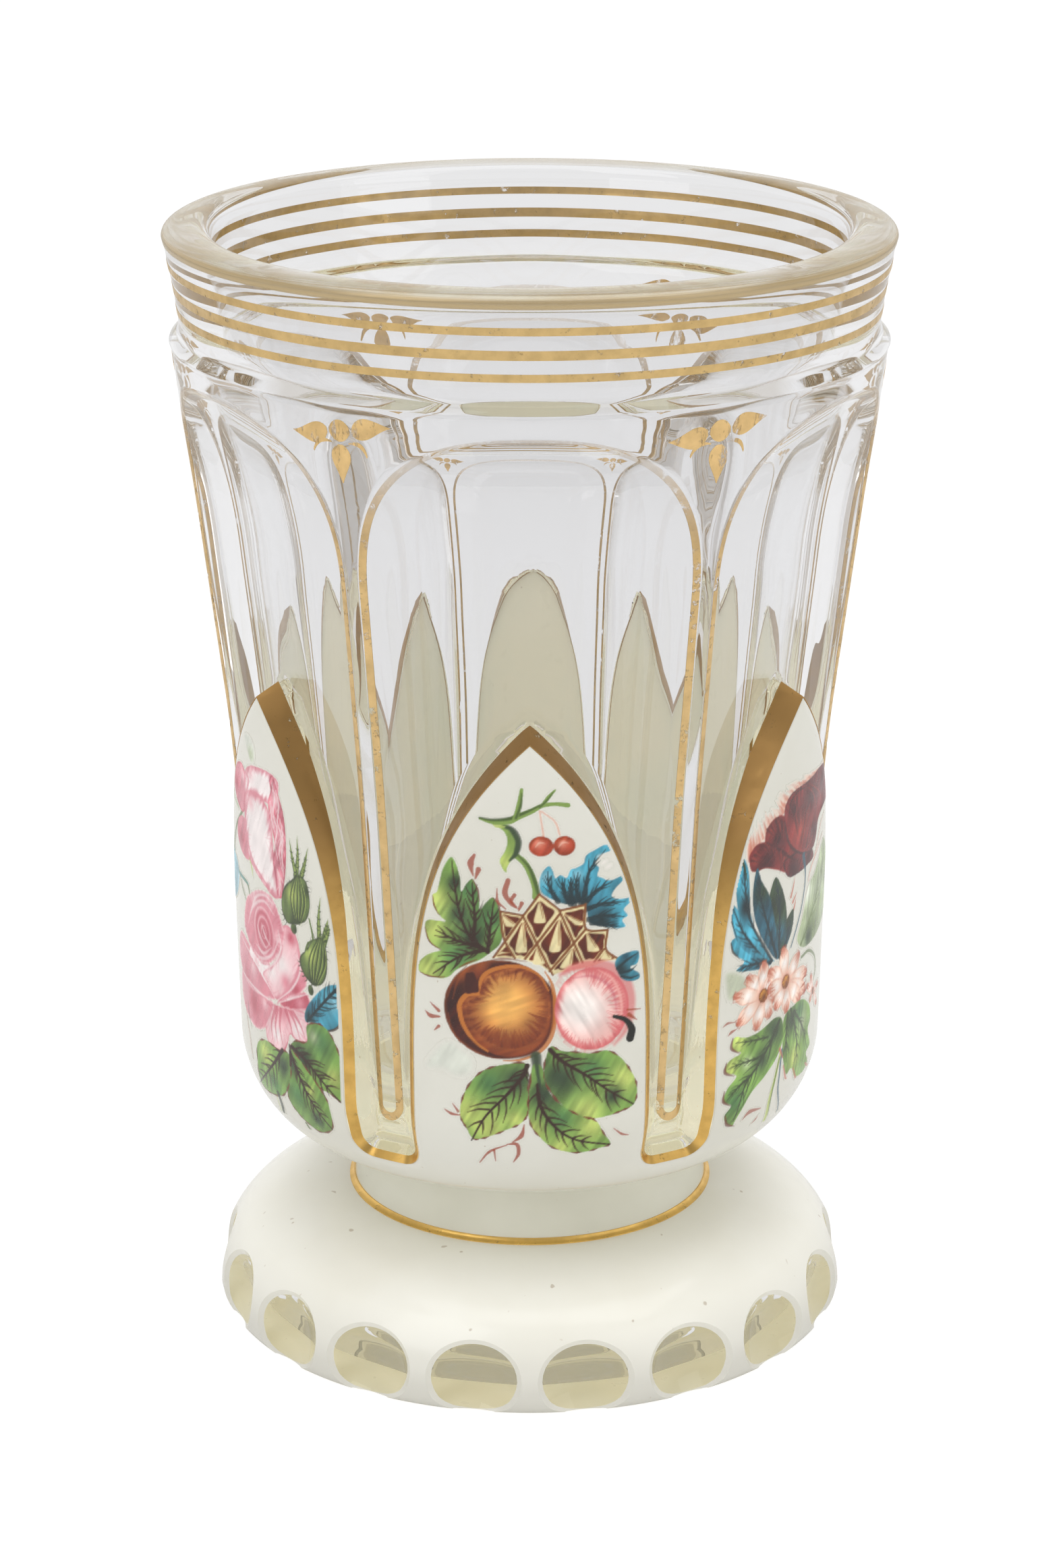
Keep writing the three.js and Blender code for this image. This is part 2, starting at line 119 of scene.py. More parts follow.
def dropFaces(piece, unwanted, weld=False):
    choose(piece)
    bpy.ops.object.mode_set(mode="EDIT")
    bpy.ops.mesh.select_mode(type="FACE")
    bpy.ops.mesh.select_all(action="DESELECT")
    bpy.ops.object.mode_set(mode="OBJECT")
    piece.data.polygons.foreach_set("select", unwanted)
    bpy.ops.object.mode_set(mode="EDIT")
    bpy.ops.mesh.delete(type="FACE")
    if weld:
        bpy.ops.mesh.select_all(action="SELECT")
        bpy.ops.mesh.remove_doubles(threshold=weldReach)
    bpy.ops.object.mode_set(mode="OBJECT")


def thicken(piece, thickness, slot=0):  # inwards; slot is the material of the new side and rim
    bpy.ops.object.modifier_add(type="SOLIDIFY")
    solid = piece.modifiers[-1]
    solid.thickness = thickness * mm
    solid.offset = -1
    solid.material_offset = solid.material_offset_rim = slot
    bpy.ops.object.modifier_apply(modifier=solid.name)


def turnedPiece(name, chain, columns=240, closed=True):  # a profile spun round the axis
    loop = np.array(chain + [chain[0]] if closed else chain)
    radius, height = loop[:, :1], loop[:, 1:]
    azimuth = np.linspace(0, 2 * math.pi, columns + 1)[None, :]
    points = around(radius, azimuth, height)
    points[:, -1] = points[:, 0]
    points[radius[:, 0] < 1e-6, :, :2] = 0
    return closeShell(rolledGrid(name, points))


def turn(piece, panels):
    piece.data.transform(Matrix.Rotation(panels * 2 * halfPanel, 4, "Z"))


def turnedCopy(piece, name, panels):  # the same piece a number of panels further round
    other = piece.copy()
    other.data = piece.data.copy()
    other.name = other.data.name = name
    bpy.context.scene.collection.objects.link(other)
    turn(other, panels)
    return other


def useTwo(piece, materials, isSecond):  # the second material goes to the faces that the test picks
    for material in materials:
        piece.data.materials.append(material)
    for polygon in piece.data.polygons:
        if isSecond(polygon.center, polygon.normal):
            polygon.material_index = 1


def install(piece, material, slotName, *nodes):
    if material:
        piece.data.materials.clear()
        piece.data.materials.append(material)
    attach(piece, "root")
    if nodes:
        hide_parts(*nodes)


def installRound(first, name, material, node):  # a gilded piece and its copies on the other panels
    for index in range(panelCount):
        piece = turnedCopy(first, f"{name}{index + 1}", index) if index else first
        install(piece, material, "gilding", f"{node}_{index + 1}")


class NodeNet:  # the nodes of one material or of the world
    def __init__(self, owner):
        owner.use_nodes = True
        self.tree = owner.node_tree
        self.tree.nodes.clear()

    def feed(self, node, inputs):  # each input takes a value or follows another node's socket
        for name, value in inputs.items():
            socket = node.inputs[name]
            if isinstance(value, bpy.types.NodeSocket):
                self.tree.links.new(value, socket)
            else:
                socket.default_value = (*value, 1) if socket.type == "RGBA" else value

    def add(self, kind, inputs, **settings):
        node = self.tree.nodes.new(f"ShaderNode{kind}")
        for name, value in settings.items():
            setattr(node, name, value)
        self.feed(node, inputs)
        return node

    def place(self, kind="Object"):
        return self.add("TexCoord", {}).outputs[kind]

    def split(self, kind="Object"):
        return self.add("SeparateXYZ", {0: self.place(kind)}).outputs

    def noise(self, scale, detail=3.0, roughness=0.5, stretch=None):
        place = self.place()
        if stretch:
            place = self.add("Mapping", {"Vector": place, "Scale": stretch}).outputs["Vector"]
        inputs = {"Vector": place, "Scale": scale, "Detail": detail, "Roughness": roughness}
        return self.add("TexNoise", inputs).outputs["Fac"]

    def ramp(self, source, low, high, lowValue=0, highValue=1):
        inputs = {"Value": source, "From Min": low, "From Max": high, "To Min": lowValue, "To Max": highValue}
        return self.add("MapRange", inputs, clamp=True).outputs["Result"]

    def level(self, low, high, lowValue, highValue):  # a ramp by height
        return self.ramp(self.split()["Z"], low * mm, high * mm, lowValue, highValue)

    def combine(self, operation, first, second):
        return self.add("Math", {0: first, 1: second}, operation=operation).outputs[0]

    def mix(self, factor, first, second, kind="RGBA"):
        return self.add("Mix", {"Factor": factor, "A": first, "B": second}, data_type=kind).outputs["Result"]

    def mixShader(self, factor, first, second):
        return self.add("MixShader", {"Fac": factor, 1: first, 2: second}).outputs[0]

    def bump(self, shader, height, strength, distance):
        inputs = {"Height": height, "Strength": strength, "Distance": distance * mm}
        self.feed(shader, {"Normal": self.add("Bump", inputs).outputs["Normal"]})

    def finish(self, surface, kind="Material"):
        self.add(f"Output{kind}", {0: surface})


def newMaterial(name):
    material = bpy.data.materials.new(name)
    net = NodeNet(material)
    return material, net, net.add("BsdfPrincipled", {})


glassLook = {
    "colour": (0.885, 0.885, 0.893),
    "ior": 1.5,
    "waves": 0.12,  # depth of the faint waves left by the fire
    "scratches": 0.03,
    "shadow": (0.97, 0.97, 0.965),  # what is left of the light in its shadow
}


def makeGlass():
    material, net, shader = newMaterial("clear glass")
    wear = net.ramp(net.noise(900, 4, 0.6), 0.55, 0.75, 0, glassLook["scratches"])
    net.feed(shader, {"Base Color": glassLook["colour"], "Transmission Weight": 1, "IOR": glassLook["ior"],
                      "Roughness": wear})
    net.bump(shader, net.noise(45, 2, 0.4, (1, 1, 0.35)), 0.05, glassLook["waves"])
    through = net.add("BsdfTransparent", {"Color": glassLook["shadow"]})
    light = net.add("LightPath", {})
    net.finish(net.mixShader(light.outputs["Is Shadow Ray"], shader.outputs[0], through.outputs[0]))
    return material


opal = {"colour": (0.695, 0.683, 0.61), "shade": (0.665, 0.65, 0.57)}
whiteLook = {**opal, "roughness": 0.16}
enamelLook = {**opal, "roughness": 0.24}
creamLook = {"colour": (0.72, 0.71, 0.60), "shade": (0.66, 0.65, 0.54), "roughness": 0.12}
# the foot's casing is a lighter copy of the bowl's white: painted light on the foot's top, which the lamps light more
# than the upright faces
footLitLook = {
    "colour": (0.86, 0.845, 0.765), "shade": (0.83, 0.81, 0.72), "roughness": 0.14,
    "flecks": (620, 0.765, 0.80),  # how fine they are, and the range in which they show
    "edge": (0.66, 0.645, 0.58),  # the casing is thinner towards the edge of the foot, and this is also painted shade: darker low down, at the foot's side and edge
}
# the glow is painted light: an emission, on a colour lighter than the outer casing, that stands in for daylight
# coming through the casing onto its inside and cut edges; it is stronger low on the heel
liningLook = {"colour": (0.87, 0.83, 0.655), "shade": (0.76, 0.785, 0.64), "roughness": 0.35, "glow": 0.21,
              "heelGlow": 0.33}
# the foot's lining glows with painted light in the same way; it also covers the foot's ground ring, its joint with
# the bowl and the inside of the stem
footLiningLook = {"colour": (0.72, 0.68, 0.51), "shade": (0.68, 0.66, 0.52), "roughness": 0.4, "glow": 0.30}
fleckColour = (0.35, 0.25, 0.15)
plainFlecks = (1500, 0.79, 0.83)


def makeOpal(name, look, painted=False):
    material, net, shader = newMaterial(name)
    colour = net.mix(net.ramp(net.noise(60), 0.4, 0.68), look["colour"], look["shade"])
    if "edge" in look:
        # painted shade: darker below 11 mm, towards the foot's edge
        colour = net.mix(net.level(3, 11, 1, 0), colour, look["edge"])
    grain, low, high = look.get("flecks", plainFlecks)
    flecks = net.ramp(net.noise(grain, 1, 0.4), low, high, 0, 0.5)
    colour = net.mix(flecks, colour, fleckColour)
    if painted:
        enamelled = net.add("VertexColor", {}, layer_name="enamel").outputs
        colour = net.mix(enamelled["Alpha"], colour, enamelled["Color"])
    rub = net.ramp(net.noise(300, 3, 0.6), 0.3, 0.8, look["roughness"] * 0.6, look["roughness"] * 1.8)
    net.feed(shader, {"Base Color": colour, "Roughness": rub, "IOR": 1.5})
    if "glow" in look:
        # painted light: an emission that stands in for daylight through the casing, stronger on the heel below 44 mm
        glow = net.level(32, 44, look["heelGlow"], look["glow"]) if "heelGlow" in look else look["glow"]
        net.feed(shader, {"Emission Color": look["colour"], "Emission Strength": glow})
    net.bump(shader, net.noise(160, 2), 0.2, 0.05)
    net.finish(shader.outputs[0])
    return material


goldLook = {
    "dots": (0.77, 0.53, 0.24), "bands": (0.65, 0.455, 0.20), "thin": (0.70, 0.49, 0.23),
    "line": (0.90, 0.58, 0.17), "edges": (0.72, 0.45, 0.13), "aged": (0.40, 0.235, 0.085),
    "deeper": 0.8,  # the darker of its two tones, as a share of the lighter
    "roughness": 0.36,
}


def finishFilm(net, keep, shader):  # a film with gaps in it
    gone = net.add("BsdfTransparent", {})
    net.finish(net.mixShader(keep, gone.outputs[0], shader.outputs[0]))


# worn is the share rubbed away; fade and aged give the levels between which it fades or darkens
def makeGold(name, colour, worn, fade=None, aged=None, grain=(650, None)):
    material, net, shader = newMaterial(name)
    tone = net.noise(420, 4, 0.6)
    deeper = tuple(goldLook["deeper"] * share for share in goldLook[colour])
    colour = net.mix(net.ramp(tone, 0.35, 0.7), goldLook[colour], deeper)
    if aged:
        colour = net.mix(net.level(*aged, 0, 1), colour, goldLook["aged"])
    rough = net.ramp(tone, 0.3, 0.8, goldLook["roughness"] * 0.75, goldLook["roughness"] * 1.4)
    net.feed(shader, {"Base Color": colour, "Metallic": 1, "Roughness": rough})
    net.bump(shader, tone, 0.3, 0.03)
    scale, stretch = grain
    keep = net.ramp(net.noise(scale, 5, 0.72, stretch), 0.26 + worn * 0.3, 0.36 + worn * 0.3)
    if fade:
        low, high, left = fade
        keep = net.combine("MULTIPLY", keep, net.level(low, high, 1, left))
    finishFilm(net, keep, shader)
    return material


lipLook = {
    "colour": (0.58, 0.48, 0.32), "worn": (0.68, 0.63, 0.51), "edge": (0.50, 0.38, 0.20),
    "density": 0.95,
    "across": ((0, 0.15), (0.93, 0.62), (0.931, 0.848), (1, 1)),  # density from the inside outwards
    "inside": 41.5,  # radii
    "outside": 46.6,
    "edgeStart": (46.1, 46.4),
}


def makeLipFilm():  # what is left of the gold on the lip: pale, thin and scratched along the rim
    material, net, shader = newMaterial("rubbed gilding")
    tone = net.noise(120)
    flat = net.add("VectorMath", {0: net.place(), 1: (1, 1, 0)}, operation="MULTIPLY")
    radius = net.add("VectorMath", {0: flat.outputs[0]}, operation="LENGTH").outputs["Value"]
    ring = net.add("CombineXYZ", {"X": radius, "Y": net.split()["Z"]})
    lines = net.add("TexNoise", {"Vector": ring.outputs[0], "Scale": 3200, "Detail": 3}).outputs["Fac"]
    colour = net.mix(net.ramp(tone, 0.35, 0.65), lipLook["colour"], lipLook["worn"])
    edge = net.ramp(radius, *[r * mm for r in lipLook["edgeStart"]])
    net.feed(shader, {"Base Color": net.mix(edge, colour, lipLook["edge"]), "Metallic": 0.3, "Roughness": 0.25})
    across = net.add("ValToRGB", {"Fac": net.ramp(radius, lipLook["inside"] * mm, lipLook["outside"] * mm)})
    stops = across.color_ramp.elements
    for place, share in lipLook["across"]:
        stop = stops.new(place) if 0 < place < 1 else stops[-1 if place else 0]
        stop.color = (share, share, share, 1)
    scratched = net.ramp(lines, 0.3, 0.7, lipLook["density"] * 0.75, lipLook["density"] * 1.2)
    net.bump(shader, tone, 0.3, 0.05)
    finishFilm(net, net.combine("MULTIPLY", scratched, across.outputs["Color"]), shader)
    return material


glass = makeGlass()
white = makeOpal("white casing", whiteLook)
footWhite = makeOpal("white casing of the foot", footLitLook)
cream = makeOpal("cream casing", creamLook)
lining = makeOpal("casing seen through the glass", liningLook)
footLining = makeOpal("cream underside seen through the glass", footLiningLook)
enamelled = makeOpal("fired enamel", enamelLook, True)
gold = makeGold("burnished gilding", "line", 0.06)
edgeGold = makeGold("gilding of the cut edges", "edges", 0.08, aged=(58, 74))
thinGold = makeGold("thin gilding", "thin", 0.3, fade=(112, 125, 0.16))
bandGold = makeGold("band gilding", "bands", 0.15)
dotGold = makeGold("rubbed gilding of the trefoils", "dots", 0.36, grain=(380, (1, 1, 0.35)))
lipGold = makeLipFilm()
print("finishes made")

# The layers share the shape of the casing's six faces, each an upright lancet

casingShape = {
    "thickness": 2.6,
    "faceFoot": (38.9, 39.8),  # radius and level where the faces begin
    "faceTop": (40.1, 89.2),
    "heel": (27.8, 39.8, 11.1, 14.3),  # centre and half axes of the rounded heel
    "springLevel": 35.0,
    "halfWidth": 15.5,
    "fullness": 3.85,
    "windowFoot": 30.5,
    "windowCorner": 3.0,
    "wallLevels": (40, 58, 68, 82),
    "wallDepths": (1.25, 1.25, 1.9, 3.05),  # the casing is thinner low down
    "wallSlopes": (1.3, 1.3, 1.8, 2.6),  # depth gained for each step out from the face
    "edgeRound": (1.7, 0.3),  # width and fall of the rounded edge of a face
}
faceTopRadius, tipLevel = casingShape["faceTop"]
panelHalfWidth = math.pi * faceTopRadius / panelCount


def faceRadius(z):
    foot = casingShape["faceFoot"]
    slope = (faceTopRadius - foot[0]) / (tipLevel - foot[1])
    centre, level, across, down = casingShape["heel"]
    heel = centre + across * np.sqrt(np.clip(1 - ((level - z) / down) ** 2, 0, 1))
    return np.where(z < level, heel, foot[0] + slope * (z - foot[1]))


def wallDepth(z):
    return np.interp(z, casingShape["wallLevels"], casingShape["wallDepths"])


def wallSlope(z):
    return np.interp(z, casingShape["wallLevels"], casingShape["wallSlopes"])


def edgeSink(distance):  # how far a face falls away near its edge
    width, fall = casingShape["edgeRound"]
    return fall * (1 - np.sqrt(np.clip(1 - (1 - np.clip(distance / width, 0, 1)) ** 2, 0, 1)))


def lancetEdge(z):  # distance from the middle of a face to its edge
    shape = casingShape
    rise = np.clip((z - shape["springLevel"]) / (tipLevel - shape["springLevel"]), 0, 1)
    half = shape["halfWidth"] * (1 - rise ** shape["fullness"])
    corner = shape["windowCorner"]
    drop = np.clip(shape["windowFoot"] + corner - z, 0, corner)
    return half + corner - np.sqrt(corner ** 2 - drop ** 2)


def lancetPath():  # from the foot of a window up to the tip, beside one half of a face
    shape = casingShape
    corner, foot = shape["windowCorner"], shape["windowFoot"]
    path = [(panelHalfWidth, foot)]
    for angle in np.linspace(0, math.pi / 2, 9):
        path.append((shape["halfWidth"] + corner * (1 - math.sin(angle)), foot + corner * (1 - math.cos(angle))))
    rise = 1 - (1 - np.linspace(0.02, 1, 90)) ** 1.5
    for z in shape["springLevel"] + (tipLevel - shape["springLevel"]) * rise:
        path.append((float(lancetEdge(z)), z))
    return np.array(path)


facePath = lancetPath()
faceOut = rightOf(alongOf(facePath))  # unit normals into the window
faceOut[-1] = (0, 1.25)  # both sides meet at the tip


def nearLine(x, y, line, tiny=0.0):  # distance to a line, and the share of it passed there
    best, passed = np.full(x.shape, 1e9), np.zeros(x.shape)
    for index, ((ax, ay), (bx, by)) in enumerate(zip(line[:-1], line[1:])):
        dx, dy = bx - ax, by - ay
        t = np.clip(((x - ax) * dx + (y - ay) * dy) / (dx * dx + dy * dy + tiny), 0, 1)
        distance = np.hypot(x - ax - t * dx, y - ay - t * dy)
        passed = np.where(distance < best, (index + t) / (len(line) - 1), passed)
        best = np.minimum(best, distance)
    return best, passed


def outsideFace(s, z):  # signed distance outside the outline of a face
    s, z = np.broadcast_arrays(np.abs(s), z)
    distance = nearLine(s, z, facePath)[0]
    inside = (z < casingShape["windowFoot"]) | ((z < tipLevel) & (s < lancetEdge(z)))
    return np.where(inside, -distance, distance)


bowlShape = {
    "ribs": ((35.7, 36.6), (39.4, 80.5), (45.6, 130.8)),  # radii and levels
    "ribBend": 3.0,
    "ribHalf": 1.15,
    "archStart": 107.0,
    "archTop": 128.6,
    "archFullness": 2.5,
    "arris": 0.16,  # rounding of the edges beside the ribs
    "cove": 1.0,
    "pocket": (3.3, 0.3),  # depth and rounding of the step back behind the heel
    "pocketLevels": (35.6, 37.6),
    "backing": (1.1, 0.06),  # least depth behind the faces, and what is added for the cut edges
    "collar": ((45.9, 131.7), (45.8, 131.95), (45.0, 132.75), (44.7, 133.1), (44.6, 133.6), (44.64, 134.7),
               (44.85, 136), (45.1, 138), (45.4, 139.8), (45.8, 141.5), (46.1, 143.5), (46.45, 144.9)),
    "lip": (43.45, 144.9, 3.05, 1.4),  # middle and half axes of the rounded lip
    "lipFullness": 0.8,
    "cavity": ((40.4, 144.2), (38.0, 128.0), (35.2, 107.0), (32.4, 80.5), (29.4, 44.0)),
    "cavityFlat": 0.085,  # how far the inside flattens behind each facet and each rib
    "floor": (35.0, 9.0),
    "core": 22.5,
    "joint": 20.05,
    "underside": (27.0, 26.8),  # radius and level of the ledge above the stem
    "levels": ((26.8, 30.2, 0.85), (30.2, 40, 0.5), (40, 83, 1.05), (83, 92.5, 0.5), (92.5, 110, 1.25),
               (110, 119, 0.9), (119, 129.2, 0.5), (129.2, 131.3, 0.45)),  # rows of the mesh outside
    "columns": (5, 4, 10, 9),  # columns of the mesh on a face, its edge, the facet and the rib
}


def ribRadius(z):
    (r0, z0), (r1, z1), (r2, z2) = bowlShape["ribs"]
    low, high = (r1 - r0) / (z1 - z0), (r2 - r1) / (z2 - z1)
    x = z - z1
    return r1 + low * x + (high - low) * (x + np.sqrt(x * x + bowlShape["ribBend"] ** 2)) / 2


def archAngle(z):  # half the angle that a flat facet spans at a level
    straight = halfPanel - np.arcsin(bowlShape["ribHalf"] / ribRadius(z))
    rise = np.clip((z - bowlShape["archStart"]) / (bowlShape["archTop"] - bowlShape["archStart"]), 0, 1)
    power = bowlShape["archFullness"]
    return straight * (1 - rise ** power) ** (1 / power)


def glassRadius(azimuth, z):  # outside of the clear body, azimuth from the middle of a face
    rib = ribRadius(z)
    facet = rib * np.cos(archAngle(z)) / np.cos(azimuth)
    clear = smoothMin(rib, facet, bowlShape["arris"])
    depth, blend = bowlShape["pocket"]
    clear = smoothMin(clear, faceRadius(z) - depth + 12 * smoothStep(*bowlShape["pocketLevels"], z), blend)
    least, added = bowlShape["backing"]
    distance = outsideFace(azimuth * faceTopRadius, z)
    wall = faceRadius(z) - np.maximum(least, wallSlope(z) * distance + added)
    return smoothMax(clear, wall, bowlShape["cove"])


def lipChain(offset, angles):
    centre, height, across, up = bowlShape["lip"]
    power = bowlShape["lipFullness"]
    chain = []
    for angle in angles:
        c, s = math.cos(angle), math.sin(angle)
        chain.append((centre + (across + offset) * math.copysign(abs(c) ** power, c),
                      height + (up + offset) * abs(s) ** power))
    return chain


# The clear bowl is one skin from the stem up the outside, over the lip and down inside

def sectorColumns(z):  # azimuths over half a panel: the columns follow the edges of face and facet
    edge = float(lancetEdge(np.clip(z, 34, tipLevel)) / faceTopRadius)
    above = float(smoothStep(tipLevel + 1.5, tipLevel + 12, z))
    arch = max(float(archAngle(np.array(min(z, 128.3)))), math.radians(1.5))
    arch += (math.radians(18) - arch) * float(smoothStep(129, 131.5, z))
    high = z > 100
    first = min(max(edge, 0.006) + 0.09 * above, arch * 0.3 if high else 9)
    second = min(first + 1.95 / faceTopRadius, arch * 0.6 if high else arch - 0.02)
    knots = [0, first, second, arch, halfPanel]
    angles = [0.0]
    for start, stop, count in zip(knots[:-1], knots[1:], bowlShape["columns"]):
        angles += list(start + (stop - start) * np.arange(1, count + 1) / count)
    return np.array(angles)


def ringOf(half):  # half a panel of azimuths, repeated round the body; the second array is panel-local
    local = np.concatenate([-half[::-1][:-1], half])
    full = [panel * 2 * halfPanel + local[:-1] for panel in range(panelCount)]
    full = np.concatenate(full + [[panelCount * 2 * halfPanel + local[0]]])
    return full, np.concatenate([np.tile(local[:-1], panelCount), [local[0]]])


def insideWave(radius, azimuth, z):  # the hand-worked inside isn't quite true
    if radius >= 40.3 or not 36 < z < 143.5:
        return np.zeros_like(azimuth)
    fade = float(smoothStep(36, 50, z) * (1 - smoothStep(124, 141, z)))
    return fade * (bowlShape["cavityFlat"] * radius * (1 - np.cos(2 * panelCount * azimuth)) / panelCount / 2
                   + 0.05 * np.sin(3 * azimuth + z * 0.05) + 0.02 * np.sin(17 * azimuth + z * 0.11)
                   + 0.03 * math.sin(z * 0.33))


def bowlPoints():
    shape = bowlShape
    core, joint = shape["core"], shape["joint"]
    ledge, underside = shape["underside"]
    still = ringOf(sectorColumns(underside))[0]
    rows = [around(radius, still, z) for radius, z in (
        (0, joint), (core - 0.4, joint), (core, joint + 0.4), (core, 24), (core, underside), (ledge, underside))]
    for z in runs(*shape["levels"]):
        azimuth, local = ringOf(sectorColumns(z))
        rows.append(around(glassRadius(np.abs(local), z), azimuth, z))
    chain = list(shape["collar"]) + lipChain(0, np.linspace(0.06, math.pi - 0.06, 17))
    inside = np.array(shape["cavity"])[::-1]
    for z in [*np.arange(144.0, 46, -1.8), 44.0]:
        chain.append((float(np.interp(z, inside[:, 1], inside[:, 0])), z))
    foot = inside[0, 0]
    floorLevel, corner = shape["floor"]
    for angle in np.linspace(0, math.pi / 2, 11)[1:]:
        chain.append((foot - corner * (1 - math.cos(angle)), floorLevel + corner * (1 - math.sin(angle))))
    for share in (0.75, 0.5, 0.25, 0):
        chain.append(((foot - corner) * share, floorLevel + 0.25 * share - 0.25))
    azimuth = ringOf(sectorColumns(131.5))[0]
    for radius, z in chain:
        rows.append(around(radius + insideWave(radius, azimuth, z), azimuth, z))
    points = np.array(rows)
    points[:, -1] = points[:, 0]
    points[[0, -1], :, :2] = 0
    return points


clearBowl = closeShell(rolledGrid("clearBowl", bowlPoints()), 40)
install(clearBowl, glass, "clear_glass", "clear_bowl")
print("clear bowl", len(clearBowl.data.polygons))

# The white casing of the bowl is a crown of six pointed faces on a rounded heel

crownShape = {
    "underside": ((21.7, 24.6), (23.4, 24.6), (24.3, 24.62), (25.6, 24.85), (26.8, 25.25)),
    "levels": ((34, 80, 1.0), (80, 87, 0.6)),  # rows of the mesh between the window's foot and the tip
    "steps": (*np.linspace(0, 0.8, 9), 0.87, 0.925, 0.96, 0.98, 0.992, 1.0),  # its columns over half a face
    "windowColumns": 6,
}


def crownPoints():
    centre, level, across, down = casingShape["heel"]
    foot = casingShape["windowFoot"]
    chain = list(crownShape["underside"])
    for angle in np.linspace(-88, 0, 34):
        z = level + down * math.sin(math.radians(angle))
        if z < foot:
            chain.append((centre + across * math.cos(math.radians(angle)), z))
    levels = runs((foot, 34, 0.35), *crownShape["levels"], (87, tipLevel - 0.1, 0.3))
    chain = np.array(chain + [(float(faceRadius(np.array(z))), z) for z in [*levels, tipLevel]])
    normal = rightOf(alongOf(chain))
    steps, count = np.array(crownShape["steps"]), crownShape["windowColumns"]
    beyond = np.concatenate([np.zeros(len(steps)), np.ones(count)])
    outer, inner, window = [], [], []
    for (radius, z), (nr, nz) in zip(chain, normal):
        edge = float(lancetEdge(np.array(max(z, foot))))
        s = np.concatenate([steps * edge, edge + (panelHalfWidth - edge) * np.arange(1, count + 1) / count])
        azimuth = s / faceTopRadius
        if z > foot:
            distance = -outsideFace(s, z)
            out = faceOut[np.argmin(np.hypot(facePath[:, 0] - edge, facePath[:, 1] - z))]
        else:
            distance = foot - z + np.full(s.shape, 9.0)
            if z > 24.7:
                distance = np.hypot(np.clip(edge - s, 0, None), foot - z)
            out = np.array([0, 1.0])
        sink = edgeSink(distance)
        outer.append((radius - nr * sink, azimuth, z - nz * sink))
        thick = float(wallDepth(z)) - 0.3
        reach = thick / float(wallSlope(z))
        weight = np.concatenate([steps ** 6, np.ones(count)])
        weight = weight * (1 if z >= foot else max(0, (z - 26) / (foot - 26)) ** 2)
        if z > tipLevel - 0.05:
            weight[:] = 1
        thick += 0.15
        behind = z + out[1] * reach * weight
        inner.append(((radius - nr * thick) * (1 - weight) + (faceRadius(behind) - thick) * weight,
                      azimuth + out[0] * reach * weight / faceTopRadius,
                      (z - nz * thick) * (1 - weight) + behind * weight))
        window.append((beyond > 0) & (z > foot + 0.01))
    return outer, inner, np.array(window)


def spreadRound(rows):  # half-panel rows mirrored and repeated round the body
    result = []
    for radius, azimuth, z in rows:
        radius, azimuth, z = [np.broadcast_to(np.asarray(v, float), azimuth.shape) for v in (radius, azimuth, z)]
        sides = [np.concatenate([v[::-1][:-1], v])[:-1] for v in (radius, z)]
        local = np.concatenate([-azimuth[::-1][:-1], azimuth])[:-1]
        full = np.concatenate([panel * 2 * halfPanel + local for panel in range(panelCount)])
        ring = around(np.tile(sides[0], panelCount), full, np.tile(sides[1], panelCount))
        result.append(np.concatenate([ring, ring[:1]]))
    return np.array(result)


def makeCrown():
    outer, inner, window = crownPoints()
    outerPoints, innerPoints = spreadRound(outer), spreadRound(inner)
    half = window[:, ::-1][:, :-1]
    gaps = np.concatenate([half, window], 1)[:, :-1]
    gaps = np.concatenate([np.tile(gaps, (1, panelCount)), gaps[:, :1]], 1).ravel()
    piece = rolledGrid("bowlCasing", outerPoints)
    # the inside and cut edges get the lining, which glows with painted light
    for material in (white, lining):
        piece.data.materials.append(material)
    dropFaces(piece, np.array([gaps[list(polygon.vertices)].any() for polygon in piece.data.polygons]), True)
    kept = placesOf(piece.data)
    lookup = {tuple(np.round(p, 9)): i for i, p in enumerate((outerPoints.reshape(-1, 3) * mm).astype(np.float32))}
    places = [lookup[tuple(np.round(p.astype(np.float32), 9))] for p in kept]
    thicken(piece, casingShape["thickness"], 1)
    full = placesOf(piece.data)
    full[len(kept):2 * len(kept)] = innerPoints.reshape(-1, 3)[places] * mm
    piece.data.vertices.foreach_set("co", full.ravel())
    return closeShell(piece, 38)


bowlCasing = makeCrown()
install(bowlCasing, None, "white_glass", "bowl_casing")
print("bowl casing", len(bowlCasing.data.polygons))

footShape = {
    "dome": (23.9, 2.5, 18.4, 13.1, 2.15),  # centre, half axes and fullness of the casing's outline
    "base": 41.6,
    "casing": 0.6,
    "neck": 22.9,
    "recess": (29.0, 1.2),
    "hollow": (16.0, 2.2),  # ground out in the middle of the recess
    "cuts": 18,
    "cutSize": (8.45, 6.2, 8.6),  # half axes of the wheel's hollow: across, inwards, upwards
    "cutDepth": 2.65,
    "cutLevel": 4.5,
    "cutLean": 15,
}


def domeChain(inset):
    centre, level, across, up, power = footShape["dome"]
    chain = []
    for angle in np.linspace(90, 0, 26):
        c, s = abs(math.cos(math.radians(angle))), abs(math.sin(math.radians(angle)))
        chain.append((centre + (across - inset) * c ** (2 / power), level + (up - inset) * s ** (2 / power)))
    edge = centre + across - inset
    return chain + [(edge, 1.6), (edge - 0.15, 0.9), (edge - 0.4, 0.35), (footShape["base"] - inset, 0.0)]


